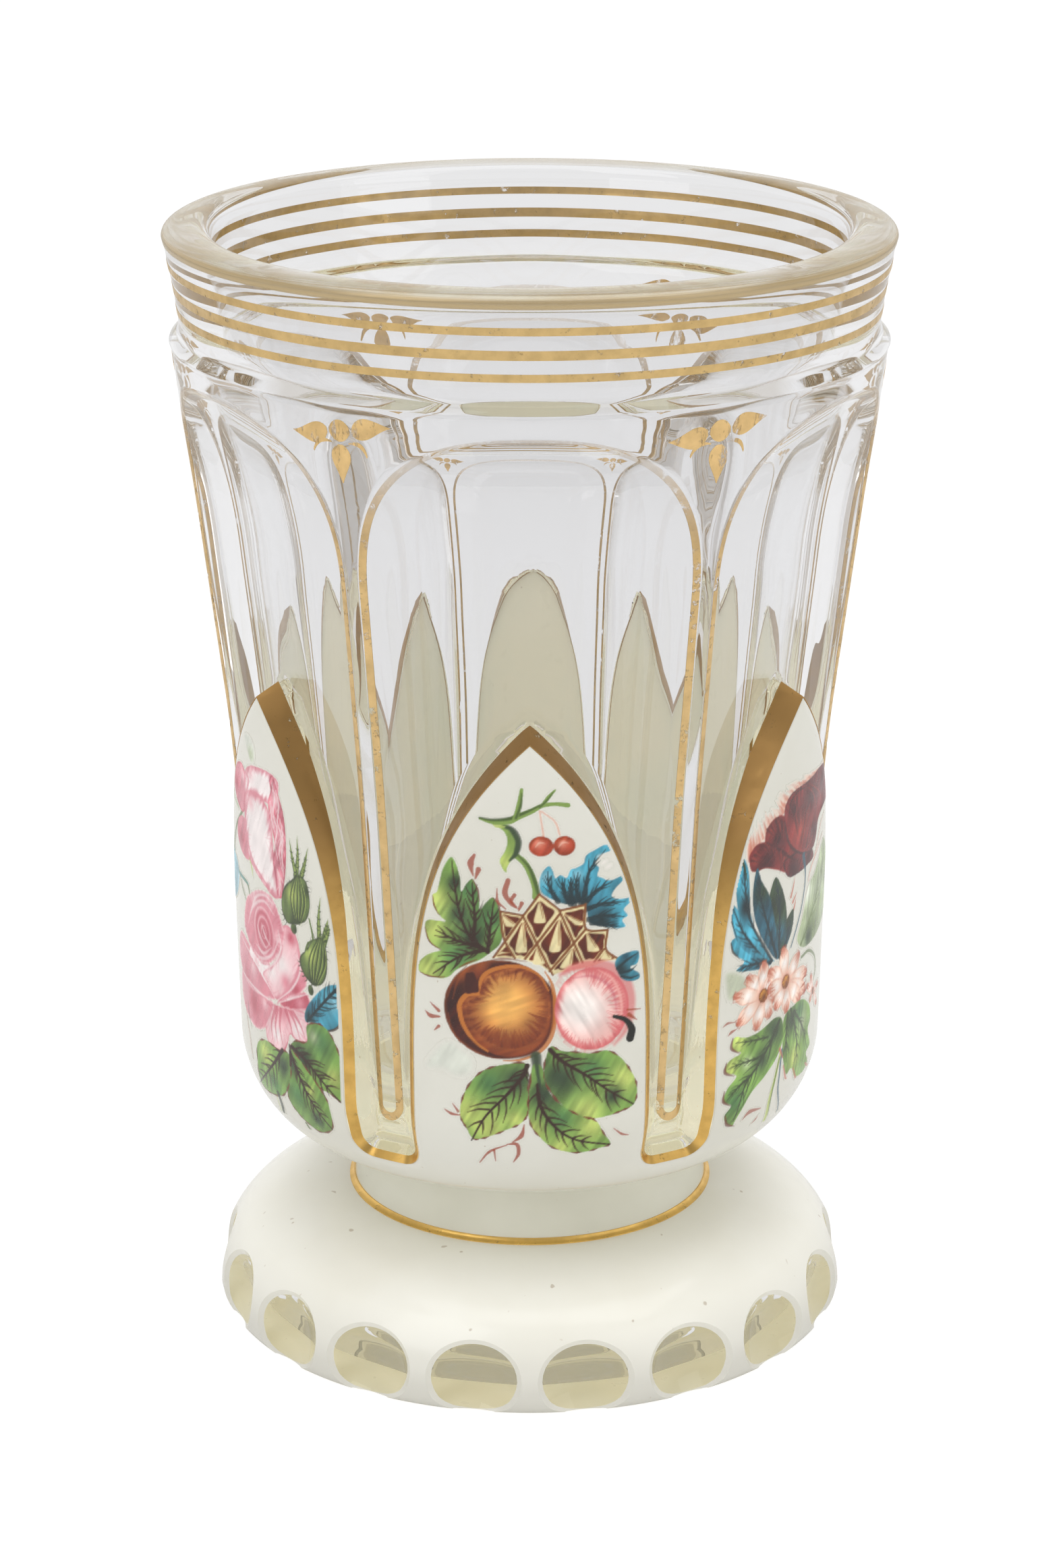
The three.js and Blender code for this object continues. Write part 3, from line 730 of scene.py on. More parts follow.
def cutThumbs(piece, extra):
    across, inward, upward = [size + extra for size in footShape["cutSize"]]
    centre, _, wide, *_ = footShape["dome"]
    out = centre + wide - footShape["cutDepth"] + footShape["cutSize"][1]
    for start in (0, 1):  # every other cut at a time, so that the cutters stay apart
        cutters = []
        for index in range(start, footShape["cuts"], 2):
            azimuth = math.radians(360 / footShape["cuts"] * (index + 0.5))
            bpy.ops.mesh.primitive_uv_sphere_add(segments=56, ring_count=28, radius=mm)
            cutters.append(bpy.context.object)
            for move in (Matrix.Diagonal((across, inward, upward, 1)),
                         Matrix.Rotation(math.radians(-footShape["cutLean"]), 4, "X"),
                         Matrix.Translation((0, -out * mm, footShape["cutLevel"] * mm)),
                         Matrix.Rotation(azimuth, 4, "Z")):
                cutters[-1].data.transform(move)
        choose(*cutters)
        bpy.ops.object.join()
        bpy.ops.object.shade_smooth()
        choose(piece)
        bpy.ops.object.modifier_add(type="BOOLEAN")
        cut = piece.modifiers[-1]
        cut.object, cut.operation, cut.solver = cutters[0], "DIFFERENCE", "EXACT"
        bpy.ops.object.modifier_apply(modifier=cut.name)
        bpy.data.objects.remove(cutters[0])
    bpy.ops.object.shade_smooth_by_angle(angle=math.radians(30))


def showsThroughCuts(place, normal):  # the inner side of the foot's casing
    radius = math.hypot(place.x, place.y)
    outwards = (normal.x * place.x + normal.y * place.y) / radius
    facing = outwards * max(radius - footShape["dome"][0] * mm, 0) + normal.z * max(place.z, 0.001)
    return facing < 0 and outwards < 0.3


neck = footShape["neck"]
shell = domeChain(0)
under = [(radius, max(z, 0.04)) for radius, z in domeChain(footShape["casing"])[::-1]]
shell = [(neck, 15.66)] + shell + [(shell[-1][0] - 0.1, 0.04)] + under + [(neck, 15.0)]
footCasing = turnedPiece("footCasing", shell, 288)
cutThumbs(footCasing, 0)
useTwo(footCasing, (footWhite, footLining), showsThroughCuts)
install(footCasing, None, "white_glass", "foot_casing")

recess, deep = footShape["recess"]
hollow, deeper = footShape["hollow"]
core = [(0, 20.2), (22.1, 20.2), (22.5, 19.8), (22.5, 15.5)] + domeChain(0.3) + [
    (recess + 3, 0), (recess, 0.35), (recess - 2, deep - 0.2), (recess - 4, deep), (hollow + 1.2, deep + 0.1),
    (hollow + 0.4, deep - 0.15), (hollow - 0.4, deep + 0.3), (hollow - 1.2, deeper - 0.2), (0, deeper + 0.6)]
clearFoot = turnedPiece("clearFoot", core, 288, closed=False)
cutThumbs(clearFoot, 0.03)
# the second material goes on the ground ring below and on the joint with the bowl above
useTwo(clearFoot, (glass, footLining), lambda place, normal: place.z > 20.1 * mm or place.z < 0.02 * mm)
install(clearFoot, None, "clear_glass", "clear_foot")

stemShape = [(21.7, 15.4), (23.95, 15.4), (23.9, 15.75), (23.5, 17.4), (23.3, 19.4), (23.3, 20.4), (23.45, 22.4),
             (23.7, 24.2), (23.75, 24.7), (21.7, 24.7), (21.7, 20)]
stemCasing = turnedPiece("stemCasing", stemShape, 192)
useTwo(stemCasing, (cream, footLining), lambda place, normal: math.hypot(place.x, place.y) < 22 * mm)
install(stemCasing, None, "cream_glass", "stem_casing")
print("foot and stem", len(footCasing.data.polygons), len(clearFoot.data.polygons))

giltShape = {
    "lift": 0.035,
    "sunk": 0.07,
    "bands": (("collarBandTop", "collar_band_top", 141.75, 1.0),  # name, node, level and width
              ("collarBandMiddle", "collar_band_middle", 138.8, 1.2),
              ("collarBandBottom", "collar_band_bottom", 136.0, 1.0)),
    "lipLevel": 144.45,  # the gold starts a little below the lip
    "lipAngles": (4, 135),
    "bevelStart": 0.22,  # how far down the cut edge the gold starts
    "bevelStop": 1.14,  # a little past the casing, so that a gold line shows through the glass behind
    "ribLine": 0.85,
    "ribInset": 0.15,  # how much of the line lies on the rib itself
    "ribArch": 21.6,
    "ribFoot": 38.2,
    "dotLevel": 128.45,
}
lift, sunk = giltShape["lift"], -giltShape["sunk"]


def collarRadius(z):
    chain = np.array(bowlShape["collar"])
    return float(np.interp(z, chain[:, 1], chain[:, 0]))


for name, node, level, width in giltShape["bands"]:
    zs = np.linspace(level - width / 2, level + width / 2, 5)
    chain = [(collarRadius(z) + lift, z) for z in zs] + [(collarRadius(z) + sunk, z) for z in zs[::-1]]
    install(turnedPiece(name, chain, 288), bandGold, "gilding", node)

lipLevel = giltShape["lipLevel"]
angles = np.linspace(*[math.radians(angle) for angle in giltShape["lipAngles"]], 22)
chain = [(collarRadius(lipLevel) + lift, lipLevel)] + lipChain(lift, angles)
chain += lipChain(sunk, angles)[::-1] + [(collarRadius(lipLevel) + sunk, lipLevel)]
install(turnedPiece("lipGilding", chain, 288), lipGold, "gilding", "lip_gilding")

chain = [(23.2, 15.35), (24.55, 15.35), (24.5, 15.72), (24.2, 15.86), (23.96, 16.1), (23.9, 16.3), (23.2, 16.3)]
install(turnedPiece("footLine", chain, 192), gold, "gilding", "foot_line")


def windowGilding():  # along the foot of a window and up the cut edges on both of its sides
    across = np.linspace(panelHalfWidth, facePath[1, 0], 8)[:-1]
    path = np.concatenate([np.stack([across, np.full(7, facePath[0, 1])], 1), facePath[1:]])
    normal = np.concatenate([np.tile((0, 1.0), (7, 1)), faceOut[1:]])
    path = np.concatenate([path[::-1], (path * (-1, 1) + (2 * panelHalfWidth, 0))[1:]])
    normal = np.concatenate([normal[::-1], (normal * (-1, 1))[1:]])
    depths, slopes = wallDepth(path[:, 1]), wallSlope(path[:, 1])
    tilt = np.arctan(1 / slopes)
    start, stop = giltShape["bevelStart"], giltShape["bevelStop"]
    loop = [(share, lift) for share in np.linspace(0, stop, 8)]
    loop += [(share, sunk) for share in np.linspace(stop, 0, 5)] + loop[:1]
    rows = []
    for share, raised in loop:
        depth = start + (depths - start) * share
        s, z = (path + normal * (depth / slopes + raised * np.cos(tilt))[:, None]).T
        rows.append(around(faceRadius(z) - depth + raised * np.sin(tilt), s / faceTopRadius, z))
    return closeShell(rolledGrid("windowGilding1", np.array(rows)), 50)


installRound(windowGilding(), "windowGilding", edgeGold, "window_gilding")


def ribGilding():  # down one side of a rib, round its foot and up the other, from arch top to arch top
    levels = np.concatenate([bowlShape["archTop"] - giltShape["ribArch"] * np.linspace(0, 1, 40)[:-1] ** 2.2,
                             np.linspace(bowlShape["archStart"], giltShape["ribFoot"], 50)])
    side = np.array([float(halfPanel - archAngle(np.array(z))) for z in levels])
    flat = np.stack([side * ribRadius(levels), levels], 1)  # distance from the middle of the rib
    inward = rightOf(alongOf(flat))
    inward[0] = (0, 1)
    angles = np.linspace(0, math.pi, 15)[1:-1]
    edges = []
    for reach in (giltShape["ribInset"], giltShape["ribInset"] - giltShape["ribLine"]):  # negative is on the facet
        line = flat + inward * reach
        line[:, 0] = np.maximum(line[:, 0], 0.28)
        wide, foot = line[-1]
        low = wide if reach > 0 else wide * 1.15
        edges.append(np.concatenate([line, [(wide * math.cos(t), foot - low * math.sin(t)) for t in angles],
                                     (line * (-1, 1))[::-1]]))
    inner, outer = edges
    rows = []
    for share, raised in ((0, lift), (0.25, lift), (0.5, lift), (0.75, lift), (1, lift), (1, sunk), (0.5, sunk),
                          (0, sunk), (0, lift)):
        x, z = (outer + (inner - outer) * share).T
        azimuth = x / ribRadius(z)
        base = glassRadius(halfPanel - np.abs(azimuth), z)
        rows.append(around(base + raised, halfPanel + azimuth, z))
    return closeShell(rolledGrid("ribGilding1", np.array(rows)), 50)


installRound(ribGilding(), "ribGilding", thinGold, "rib_gilding")


def brushMark(name, start, stop, halfWidths, bow=0.0):  # a thin leaf of gold on the shoulder
    start, stop = np.array(start, float), np.array(stop, float)
    t = np.linspace(0, 1, 14)
    chord = stop - start
    across = np.array([-chord[1], chord[0]]) / np.linalg.norm(chord)
    middle = start + chord * t[:, None] + across * (bow * 4 * t * (1 - t))[:, None]
    half = np.interp(t, np.linspace(0, 1, len(halfWidths)), halfWidths)
    rows = []
    for side, raised in ((-1, lift), (-0.5, lift), (0, lift), (0.5, lift), (1, lift), (1, sunk), (0, sunk),
                         (-1, sunk), (-1, lift)):
        line = middle + across * (side * half)[:, None]
        base = ribRadius(line[:, 1])
        rows.append(around(base + raised, halfPanel + line[:, 0] / base, line[:, 1]))
    return closeShell(rolledGrid(name, np.array(rows)), 50)


trefoilShape = {
    "disc": 1.38 * np.sin(np.pi * np.clip(np.linspace(0, 1, 14), 0.02, 0.98)) ** 0.5,  # half widths
    "drop": (0.35, 1.0, 1.25, 1.32, 1.28, 1.12, 0.9, 0.66, 0.42, 0.2, 0.04),
    "hair": (0.1, 0.28, 0.25, 0.12),
    "marks": (("disc", (-1.42, 0), (1.42, 0), 0), ("drop", (-1.75, -0.1), (-6.9, -0.75), 0.35),
              ("drop", (1.75, -0.1), (6.9, 0.95), 0.3), ("drop", (0, -1.75), (0, -6.6), 0),
              ("hair", (-1.2, -1.5), (-3.9, -2.9), -0.7), ("hair", (1.2, -1.5), (3.6, -3.0), 0.7)),
}


def trefoil():
    marks = []
    for kind, (s0, z0), (s1, z1), bow in trefoilShape["marks"]:
        level = giltShape["dotLevel"]
        name = "petal" if marks else "trefoil1"
        marks.append(brushMark(name, (s0, level + z0), (s1, level + z1), trefoilShape[kind], bow))
    choose(*marks)
    bpy.ops.object.join()
    return marks[0]


installRound(trefoil(), "trefoil", dotGold, "trefoil")
print("gilding laid")

# The enamels, as colours seen from 0 to 255
enamel = {
    "leafLight": (178, 192, 104), "leaf": (120, 156, 76), "leafDeep": (82, 124, 72), "leafShade": (54, 70, 48),
    "vein": (54, 32, 20), "edge": (110, 52, 34), "stem": (126, 152, 76), "stemDeep": (66, 86, 40),
    "teal": (70, 152, 174), "tealPale": (124, 178, 194), "tealDeep": (44, 90, 106), "tealInk": (32, 50, 54),
    "russet": (152, 58, 20), "brick": (168, 66, 42), "brickPale": (214, 134, 112), "blushLine": (220, 170, 150),
    "straw": (222, 208, 160), "maroon": (96, 38, 14), "lattice": (124, 74, 38), "umber": (128, 58, 22),
    "plum": (70, 26, 14), "plumWarm": (128, 66, 28), "ochre": (188, 114, 46), "amber": (228, 172, 92),
    "peach": (208, 106, 108), "peachPale": (232, 168, 160), "cream": (238, 230, 224), "black": (28, 28, 22),
    "mist": (206, 210, 198), "sage": (160, 174, 134), "rose": (212, 134, 146), "roseDeep": (188, 86, 102),
    "rosePale": (232, 188, 192), "petalWhite": (238, 228, 226), "poppy": (120, 42, 42), "poppyDeep": (76, 32, 34),
    "poppyRed": (156, 66, 56), "blush": (234, 200, 180), "blushDeep": (186, 104, 80), "heart": (196, 138, 48),
    "heartDeep": (122, 66, 30), "moss": (98, 116, 64), "mossDeep": (56, 66, 40),
}
paintShape = {
    "cell": 0.15,
    "half": 15.3,
    "levels": (31.6, 85.6),
    "lift": 0.03,
    "thickness": 0.07,
    "edge": 0.35,  # how far the paint stays inside a face
    "veil": -0.03,  # above 0 the fired colours are paler, below 0 deeper
    "streak": (3.5, 0.42),  # length and width of the streaks that the brush leaves
    "blotch": (2.2, 1.6),
}


def path(text):  # points in tenths of a millimetre: across from the middle of a face, and the level
    return (np.array(text.split(), float) / 10).reshape(-1, 2)


def paths(text):
    return [path(part) for part in text.split("/")]


def dabs(text):  # spots of another colour, each with a place and a reach
    parts = [part.split() for part in text.split(",")]
    return [(name, *(float(number) / 10 for number in numbers)) for name, *numbers in parts]


def newCanvas(seed):
    cell, half = paintShape["cell"], paintShape["half"]
    s, z = np.meshgrid(np.arange(-half, half + cell / 2, cell), np.arange(*paintShape["levels"], cell))
    dice = np.random.default_rng(seed)
    return {"s": s, "z": z, "ink": np.ones(s.shape + (3,)), "cover": np.zeros(s.shape), "dice": dice,
            "weave": dice.random((89, 89))}


def curveThrough(points, closed=False, steps=6):
    p = np.array(points, float)
    if not closed:
        p = np.concatenate([[2 * p[0] - p[1]], p, [2 * p[-1] - p[-2]]])
    before, after, beyond = np.roll(p, 1, 0), np.roll(p, -1, 0), np.roll(p, -2, 0)
    t = (np.arange(steps) / steps)[:, None, None]
    curve = 0.5 * (2 * p + (after - before) * t + (2 * before - 5 * p + 4 * after - beyond) * t ** 2
                   + (3 * p - before - 3 * after + beyond) * t ** 3)
    curve = curve.transpose(1, 0, 2)
    if closed:
        return np.concatenate([curve.reshape(-1, 2), curve[0, :1]])
    return np.concatenate([curve[1:-2].reshape(-1, 2), p[-2:-1]])


def windowOf(canvas, points, reach):
    low, high = np.min(points, 0) - reach, np.max(points, 0) + reach
    rows = slice(*np.searchsorted(canvas["z"][:, 0], (low[1], high[1])))
    return rows, slice(*np.searchsorted(canvas["s"][0], (low[0], high[0])))


def brushGrain(canvas, s, z, lean, length, width):  # streaks left by the hairs of the brush
    c, d = math.cos(math.radians(lean)), math.sin(math.radians(lean))
    u, v = (s * c + z * d) / length + 40, (z * c - s * d) / width + 40
    i, j = np.floor(u).astype(int), np.floor(v).astype(int)
    fu, fv = u - i, v - j
    fu, fv = fu * fu * (3 - 2 * fu), fv * fv * (3 - 2 * fv)
    weave = canvas["weave"]
    size = len(weave)
    low = weave[i % size, j % size] * (1 - fu) + weave[(i + 1) % size, j % size] * fu
    high = weave[i % size, (j + 1) % size] * (1 - fu) + weave[(i + 1) % size, (j + 1) % size] * fu
    return low * (1 - fv) + high * fv


def lay(canvas, window, mask, colour):
    under, cover = canvas["ink"][window], canvas["cover"][window]
    total = cover * (1 - mask) + mask
    share = (mask / np.maximum(total, 1e-6))[..., None]
    canvas["ink"][window] = under * (1 - share) + colour * share
    canvas["cover"][window] = total


def tint(name):
    return np.array(enamel[name]) / 255


def patch(canvas, outline, colour, spots=(), rim=None, grain=0.12, lean=60, soft=0.22, strength=1.0):
    loop = curveThrough(outline, True)
    window = windowOf(canvas, loop, soft + 0.3)
    s, z = canvas["s"][window], canvas["z"][window]
    distance = nearLine(s, z, loop, 1e-9)[0]
    inside = np.zeros(s.shape, bool)
    for (ax, az), (bx, bz) in zip(loop[:-1], loop[1:]):
        if az != bz:
            inside ^= ((az > z) != (bz > z)) & (s < ax + (z - az) * (bx - ax) / (bz - az))
    depth = np.where(inside, distance, -distance)
    tone = np.ones(s.shape + (3,)) * tint(colour)
    for name, s0, z0, reach in spots:
        weight = np.exp(-((s - s0) ** 2 + (z - z0) ** 2) / reach ** 2)[..., None]
        tone = tone * (1 - weight) + tint(name) * weight
    streaks = brushGrain(canvas, s, z, lean, *paintShape["streak"]) - 0.5
    if rim:
        weight = (1 - smoothStep(0, rim[1], depth + streaks * rim[1] * 0.7))[..., None]
        tone = tone * (1 - weight) + tint(rim[0]) * weight
    blotch = brushGrain(canvas, s, z, lean + 70, *paintShape["blotch"]) - 0.5
    tone = tone * (1 + grain * (streaks * 1.2 + blotch))[..., None]
    lay(canvas, window, smoothStep(-soft / 2, soft / 2, depth + streaks * 0.06) * strength, np.clip(tone, 0, 1))


def stroke(canvas, points, widths, colour, strength=1.0, soft=0.16):
    line = curveThrough(points)
    window = windowOf(canvas, line, max(widths) / 2 + soft)
    s, z = canvas["s"][window], canvas["z"][window]
    if s.size:
        distance, passed = nearLine(s, z, line, 1e-9)
        half = np.interp(passed, np.linspace(0, 1, len(widths)), widths) / 2
        lay(canvas, window, smoothStep(-soft / 2, soft / 2, half - distance) * strength, tint(colour))


def strokes(canvas, lines, widths, colour, strength=1.0, soft=0.16):
    for line in lines:
        stroke(canvas, line, widths, colour, strength, soft)


# Veins off a midrib
def sideStrokes(canvas, line, count, reach, colour, width=0.3, sweep=40, sides=(1, -1), strength=0.85):
    curve = curveThrough(line)
    dice = canvas["dice"]
    for index in range(count):
        for side in sides:
            share = 0.08 + 0.84 * (index + 0.5 * dice.random()) / count
            at = int(share * (len(curve) - 2))
            start = curve[at]
            along = curve[at + 1] - curve[at]
            along = along / np.linalg.norm(along)
            angle = math.radians(sweep * (0.8 + 0.4 * dice.random())) * side
            way = np.array([along[0] * math.cos(angle) - along[1] * math.sin(angle),
                            along[0] * math.sin(angle) + along[1] * math.cos(angle)])
            length = reach * math.sin(math.pi * (0.12 + 0.8 * share)) * (0.7 + 0.5 * dice.random())
            start = start + way * length * 0.12
            bent = [start, start + way * length * 0.5, start + way * length * 0.85 + along * length * 0.22]
            stroke(canvas, bent, (width, width * 0.75, 0.06), colour, strength)


# Strokes from a line towards a point
def hatch(canvas, line, target, count, reach, colour, width=0.3, strength=0.8, start=0.0):
    curve = curveThrough(line)
    dice = canvas["dice"]
    for share in (np.arange(count) + dice.random(count)) / count:
        root = curve[int(share * (len(curve) - 1))]
        way = np.array(target) - root
        way = way / (np.linalg.norm(way) + 1e-9)
        length = reach * (0.45 + 0.75 * dice.random())
        root = root + way * start
        bend = np.array([-way[1], way[0]]) * length * (dice.random() - 0.5) * 0.25
        bent = [root, root + way * length * 0.5 + bend, root + way * length]
        stroke(canvas, bent, (width, width * 0.7, 0.05), colour, strength)


def leaf(canvas, outline, rib, spots, veins=7, reach=3.2):
    patch(canvas, outline, "leaf", spots, grain=0.2)
    curve = curveThrough(outline, True)
    ticks = 14
    for index in range(ticks):  # the serrated edge
        at = int((index + 0.7 * canvas["dice"].random()) / ticks * (len(curve) - 6))
        stroke(canvas, (curve[at], curve[at + 2], curve[at + 4]), (0.08, 0.34, 0.06), "edge", 0.9)
    sideStrokes(canvas, rib, veins, reach, "vein", 0.3, 42)
    stroke(canvas, rib, (0.65, 0.45, 0.3, 0.2), "vein")


def petal(canvas, outline, colour, spots, rim, root, count=16, reach=2.4, ink="rose", strength=0.4):
    patch(canvas, outline, colour, spots, rim, 0.06)
    hatch(canvas, curveThrough(outline, True)[::3], root, count, reach, ink, 0.3, strength * 0.6)


def ellipseOf(s, z, across, up, count=14):
    angles = np.linspace(0, 2 * math.pi, count + 1)[:-1]
    return [(s + across * math.cos(t), z + up * math.sin(t)) for t in angles]


def paintFruit():
    canvas = newCanvas(11)
    patch(canvas, path("-134 462 -123 481 -105 496 -88 485 -76 475 -78 458 -95 453 -113 461"), "mist", soft=1.2,
            strength=0.75)
    # hanging twig with two cherries
    stroke(canvas, path("12 809 15 790 17 776"), (0.23, 0.3), "blushLine", 0.8)
    stroke(canvas, path("14 809 31 795 37 778"), (0.23, 0.3), "blushLine", 0.8)
    for s, z, across in ((4.3, 76.3, 1.38), (1.4, 76.3, 1.55)):
        shine = [("brickPale", s - 0.3, z + 0.35, 0.7)]
        patch(canvas, ellipseOf(s, z, across, 1.32), "brick", shine, ("russet", 0.7), 0.25)
        stroke(canvas, [(s - 0.7, z - 0.1), (s - 0.2, z + 0.45), (s + 0.5, z + 0.35)], (0.12, 0.3, 0.1), "blush",
                0.55)
    stroke(canvas, path("-21 754 -7 742 2 725 7 708 7 696"), (0.79, 0.92, 0.86), "stem")
    stroke(canvas, path("-14 751 -1 736 6 718 11 701"), (0.2, 0.46, 0.53), "stemDeep", 0.85, 0.3)
    patch(canvas, path("-39 789 -26 790 -17 781 -12 766 -15 752 -23 744 -28 735 -29 728 -35 735 -37 745 -31 756 "
            "-28 769 -31 781"), "stem", dabs("leafLight -31 742 12"))
    stroke(canvas, path("-34 789 -22 785 -14 770 -17 754 -25 744"), (0.33, 0.86, 0.79, 0.26), "leafShade", 0.9, 0.3)
    stroke(canvas, path("-49 796 -41 790 -31 788"), (0.2, 0.66, 0.2), "leafLight", 0.9)
    stroke(canvas, path("-62 798 -46 794 -26 796 -14 802 2 809 15 816 31 818 47 816"),
            (0.33, 0.59, 0.92, 0.86, 0.72, 0.59, 0.53, 0.66), "stem")
    stroke(canvas, path("-62 799 -46 797 -26 799 -13 804 2 811 15 818"), (0.26, 0.39, 0.46, 0.39, 0.26, 0.13),
            "stemDeep", 0.9, 0.3)
    stroke(canvas, path("-18 799 -13 817 -10 837"), (0.66, 0.72, 0.46), "stem")
    stroke(canvas, path("-17 800 -11 817 -10 832"), (0.33, 0.33, 0.13), "stemDeep", 0.85, 0.3)
    stroke(canvas, path("15 816 23 827 31 836"), (0.46, 0.53, 0.26), "stem")
    stroke(canvas, path("12 814 22 824 29 834"), (0.26, 0.26, 0.1), "stemDeep", 0.7)
    # large lobed leaf
    patch(canvas, path("-99 745 -92 735 -87 718 -86 701 -80 711 -72 718 -66 706 -63 689 -63 678 -55 688 -46 695 "
            "-40 685 -35 666 -34 646 -38 632 -50 621 -63 611 -80 603 -94 595 -103 586 -114 582 -130 583 -144 588 "
            "-145 598 -137 608 -126 615 -114 620 -121 623 -129 630 -134 641 -135 653 -129 659 -117 659 -107 659 "
            "-117 668 -123 679 -124 692 -118 697 -115 709 -110 728"), "leaf",
            dabs("leafLight -117 688 22, leafLight -124 646 22, leafLight -133 594 24, leafDeep -76 702 18, "
            "leafShade -88 670 17, leafDeep -50 666 22, leafShade -73 640 20, leafShade -94 711 10, "
            "leafDeep -93 614 18"), grain=0.25)
    for line in paths("-53 622 -75 640 -88 670 -94 704 -98 740 / -72 637 -69 665 -71 689 -72 713 / -53 624 -50 652 "
            "-45 690 / -60 624 -90 613 -125 587 / -65 628 -93 635 -120 646"):
        stroke(canvas, line, (0.6, 0.4, 0.28, 0.12), "vein", 0.9)
        sideStrokes(canvas, line, 5, 2.2, "vein", 0.26, 32)
    strokes(canvas, paths("-124 691 -122 679 -116 667 / -135 648 -129 630 -114 620 / -143 587 -129 583 -109 584 / "
            "-72 718 -65 705 -63 689 / -46 695 -39 685 -35 665"), (0.1, 0.26, 0.1), "edge", 0.85)
    # blue leaves of the pineapple
    patch(canvas, path("14 703 12 717 16 730 24 737 29 730 32 721 38 725 46 721 51 731 59 734 67 739 70 749 82 756 "
            "93 761 102 758 102 753 90 749 82 739 87 732 85 722 91 718 101 714 117 718 118 712 109 703 104 693 "
            "114 688 128 688 128 682 120 674 125 665 118 660 122 651 112 649 98 652 85 655 75 661 71 678 64 686 "
            "51 685 41 687 32 691 22 696"), "teal", dabs("tealDeep 68 685 23, tealInk 51 686 13, tealInk 91 660 15, "
            "tealPale 20 722 9, tealPale 59 724 8"), grain=0.3, lean=75)
    for line in paths("68 685 71 713 77 733 95 755 / 68 684 84 702 104 712 / 64 686 58 707 60 727 / 51 686 42 704 "
            "40 721 / 35 690 25 708 22 730 / 71 678 94 684 121 684 / 74 664 94 668 120 664 / 78 659 95 656 115 651 / "
            "56 684 51 704 51 721"):
        stroke(canvas, line, (0.75, 0.4, 0.1), "tealInk", 0.85)
        sideStrokes(canvas, line, 4, 1.5, "tealInk", 0.22, 24)
    for s, z in ((9.4, 73.7), (10, 73.1), (8.8, 74.6)):
        stroke(canvas, [(s - 0.4, z), (s + 0.2, z + 0.3)], (0.2, 0.4, 0.2), "cream", 0.6, 0.5)
    # pineapple
    patch(canvas, path("-36 676 -36 677 -22 673 -9 672 -7 673 1 685 12 699 13 699 25 691 38 679 53 682 70 684 71 683 "
            "71 665 72 652 85 650 99 648 99 635 98 623 112 610 112 608 95 606 72 600 39 595 29 593 12 606 -14 614 "
            "-46 615 -45 616 -32 635 -33 640 -35 659"), "straw", grain=0.1)
    cells = paths("12 696 35 678 9 637 -7 671 / 38 673 56 634 27 600 10 634 / -8 670 8 634 -5 615 -19 617 -29 635 / "
            "-36 675 -10 670 -31 640 / 40 676 69 682 69 654 57 637 / 71 650 98 646 96 624 82 608 68 608 57 634 / "
            "-44 617 -28 633 -20 617 / 9 632 25 599 12 608 -3 614 / 56 631 66 607 39 597 28 599 / 97 621 110 609 "
            "84 607")
    for corners in cells:
        cell = np.array(corners)
        middle = cell.mean(0)
        inset = middle + (cell - middle) * 0.82
        low = middle - (cell[0] - middle) * 0.3
        between = (inset + np.roll(inset, -1, 0)) / 2
        facets = np.stack([inset + (0, -0.05), between], 1).reshape(-1, 2)
        patch(canvas, facets, "maroon", [("umber", *middle, 0.7)], grain=0.3)
        top = middle + (cell[0] - middle) * 0.75
        waist = (middle + low) / 2
        scale = [top - (0.12, 0), top + (0.12, 0), waist + (0.75, 0), low + (0.55, -0.1), low - (0.5, 0.1),
                waist - (0.7, 0)]
        patch(canvas, scale, "straw", grain=0.1)
        stroke(canvas, [top, (middle * 2 + low) / 3 + (0.45, 0)], (0.1, 0.2, 0.12), "lattice", 0.55)
    strokes(canvas, paths("-9 672 29 592 / 36 680 67 607 / 12 700 36 680 / 12 700 -8 672 / -37 677 -8 672 / -37 677 "
            "-33 642 -19 615 / -9 670 -46 615 / 38 674 -6 614 / 71 652 25 597 / 99 648 97 623 112 609 / 94 623 "
            "82 607 / 70 685 71 652 99 648 / 38 678 70 684"), (0.3, 0.34, 0.3), "lattice", 0.95)
    # plum with its stone showing
    patch(canvas, ellipseOf(-3.8, 54.5, 7.3, 6.68, 18), "plum", dabs("plumWarm -88 594 18, plumWarm -63 610 16"),
            ("plumWarm", 0.5), 0.35, lean=50)
    strokes(canvas, paths("-106 557 -97 583 -80 602 / -99 556 -92 580 -77 597 / -105 536 -102 516 -90 497 / -60 608 "
            "-33 614 -4 610 / -90 599 -80 605 -67 611"), (0.1, 0.3, 0.12), "plumWarm", 0.7)
    patch(canvas, path("-65 568 -60 589 -40 602 -14 604 12 591 26 566 31 541 26 513 13 492 -14 481 -44 484 -68 497 "
            "-86 521 -91 545 -84 562"), "umber", dabs("amber -27 557 43, amber -34 548 26"), ("umber", 1.2), 0.16,
            lean=20)
    ring = path("-60 566 -50 588 -27 597 3 592 19 566 22 542 16 517 -4 500 -27 494 -54 503 -74 525 -79 549 -65 561")
    hatch(canvas, ring, (-2.7, 55.2), 60, 1.3, "umber", 0.5, 0.4)
    hatch(canvas, path("-61 512 -41 499 -14 496 9 510 21 538"), (-2.7, 55.2), 44, 2.0, "umber", 0.45, 0.6)
    hatch(canvas, ring, (-2.7, 55.2), 44, 0.9, "maroon", 0.34, 0.4)
    stroke(canvas, path("-65 569 -60 588 -43 600 -14 604 11 593 24 571"), (0.33, 0.59, 0.53, 0.39, 0.2), "ochre",
            0.95)
    stroke(canvas, path("-66 565 -80 563 -89 552 -90 540 -85 521 -71 500 -54 488"), (0.53, 0.66, 0.66, 0.53, 0.26),
            "ochre", 0.95)
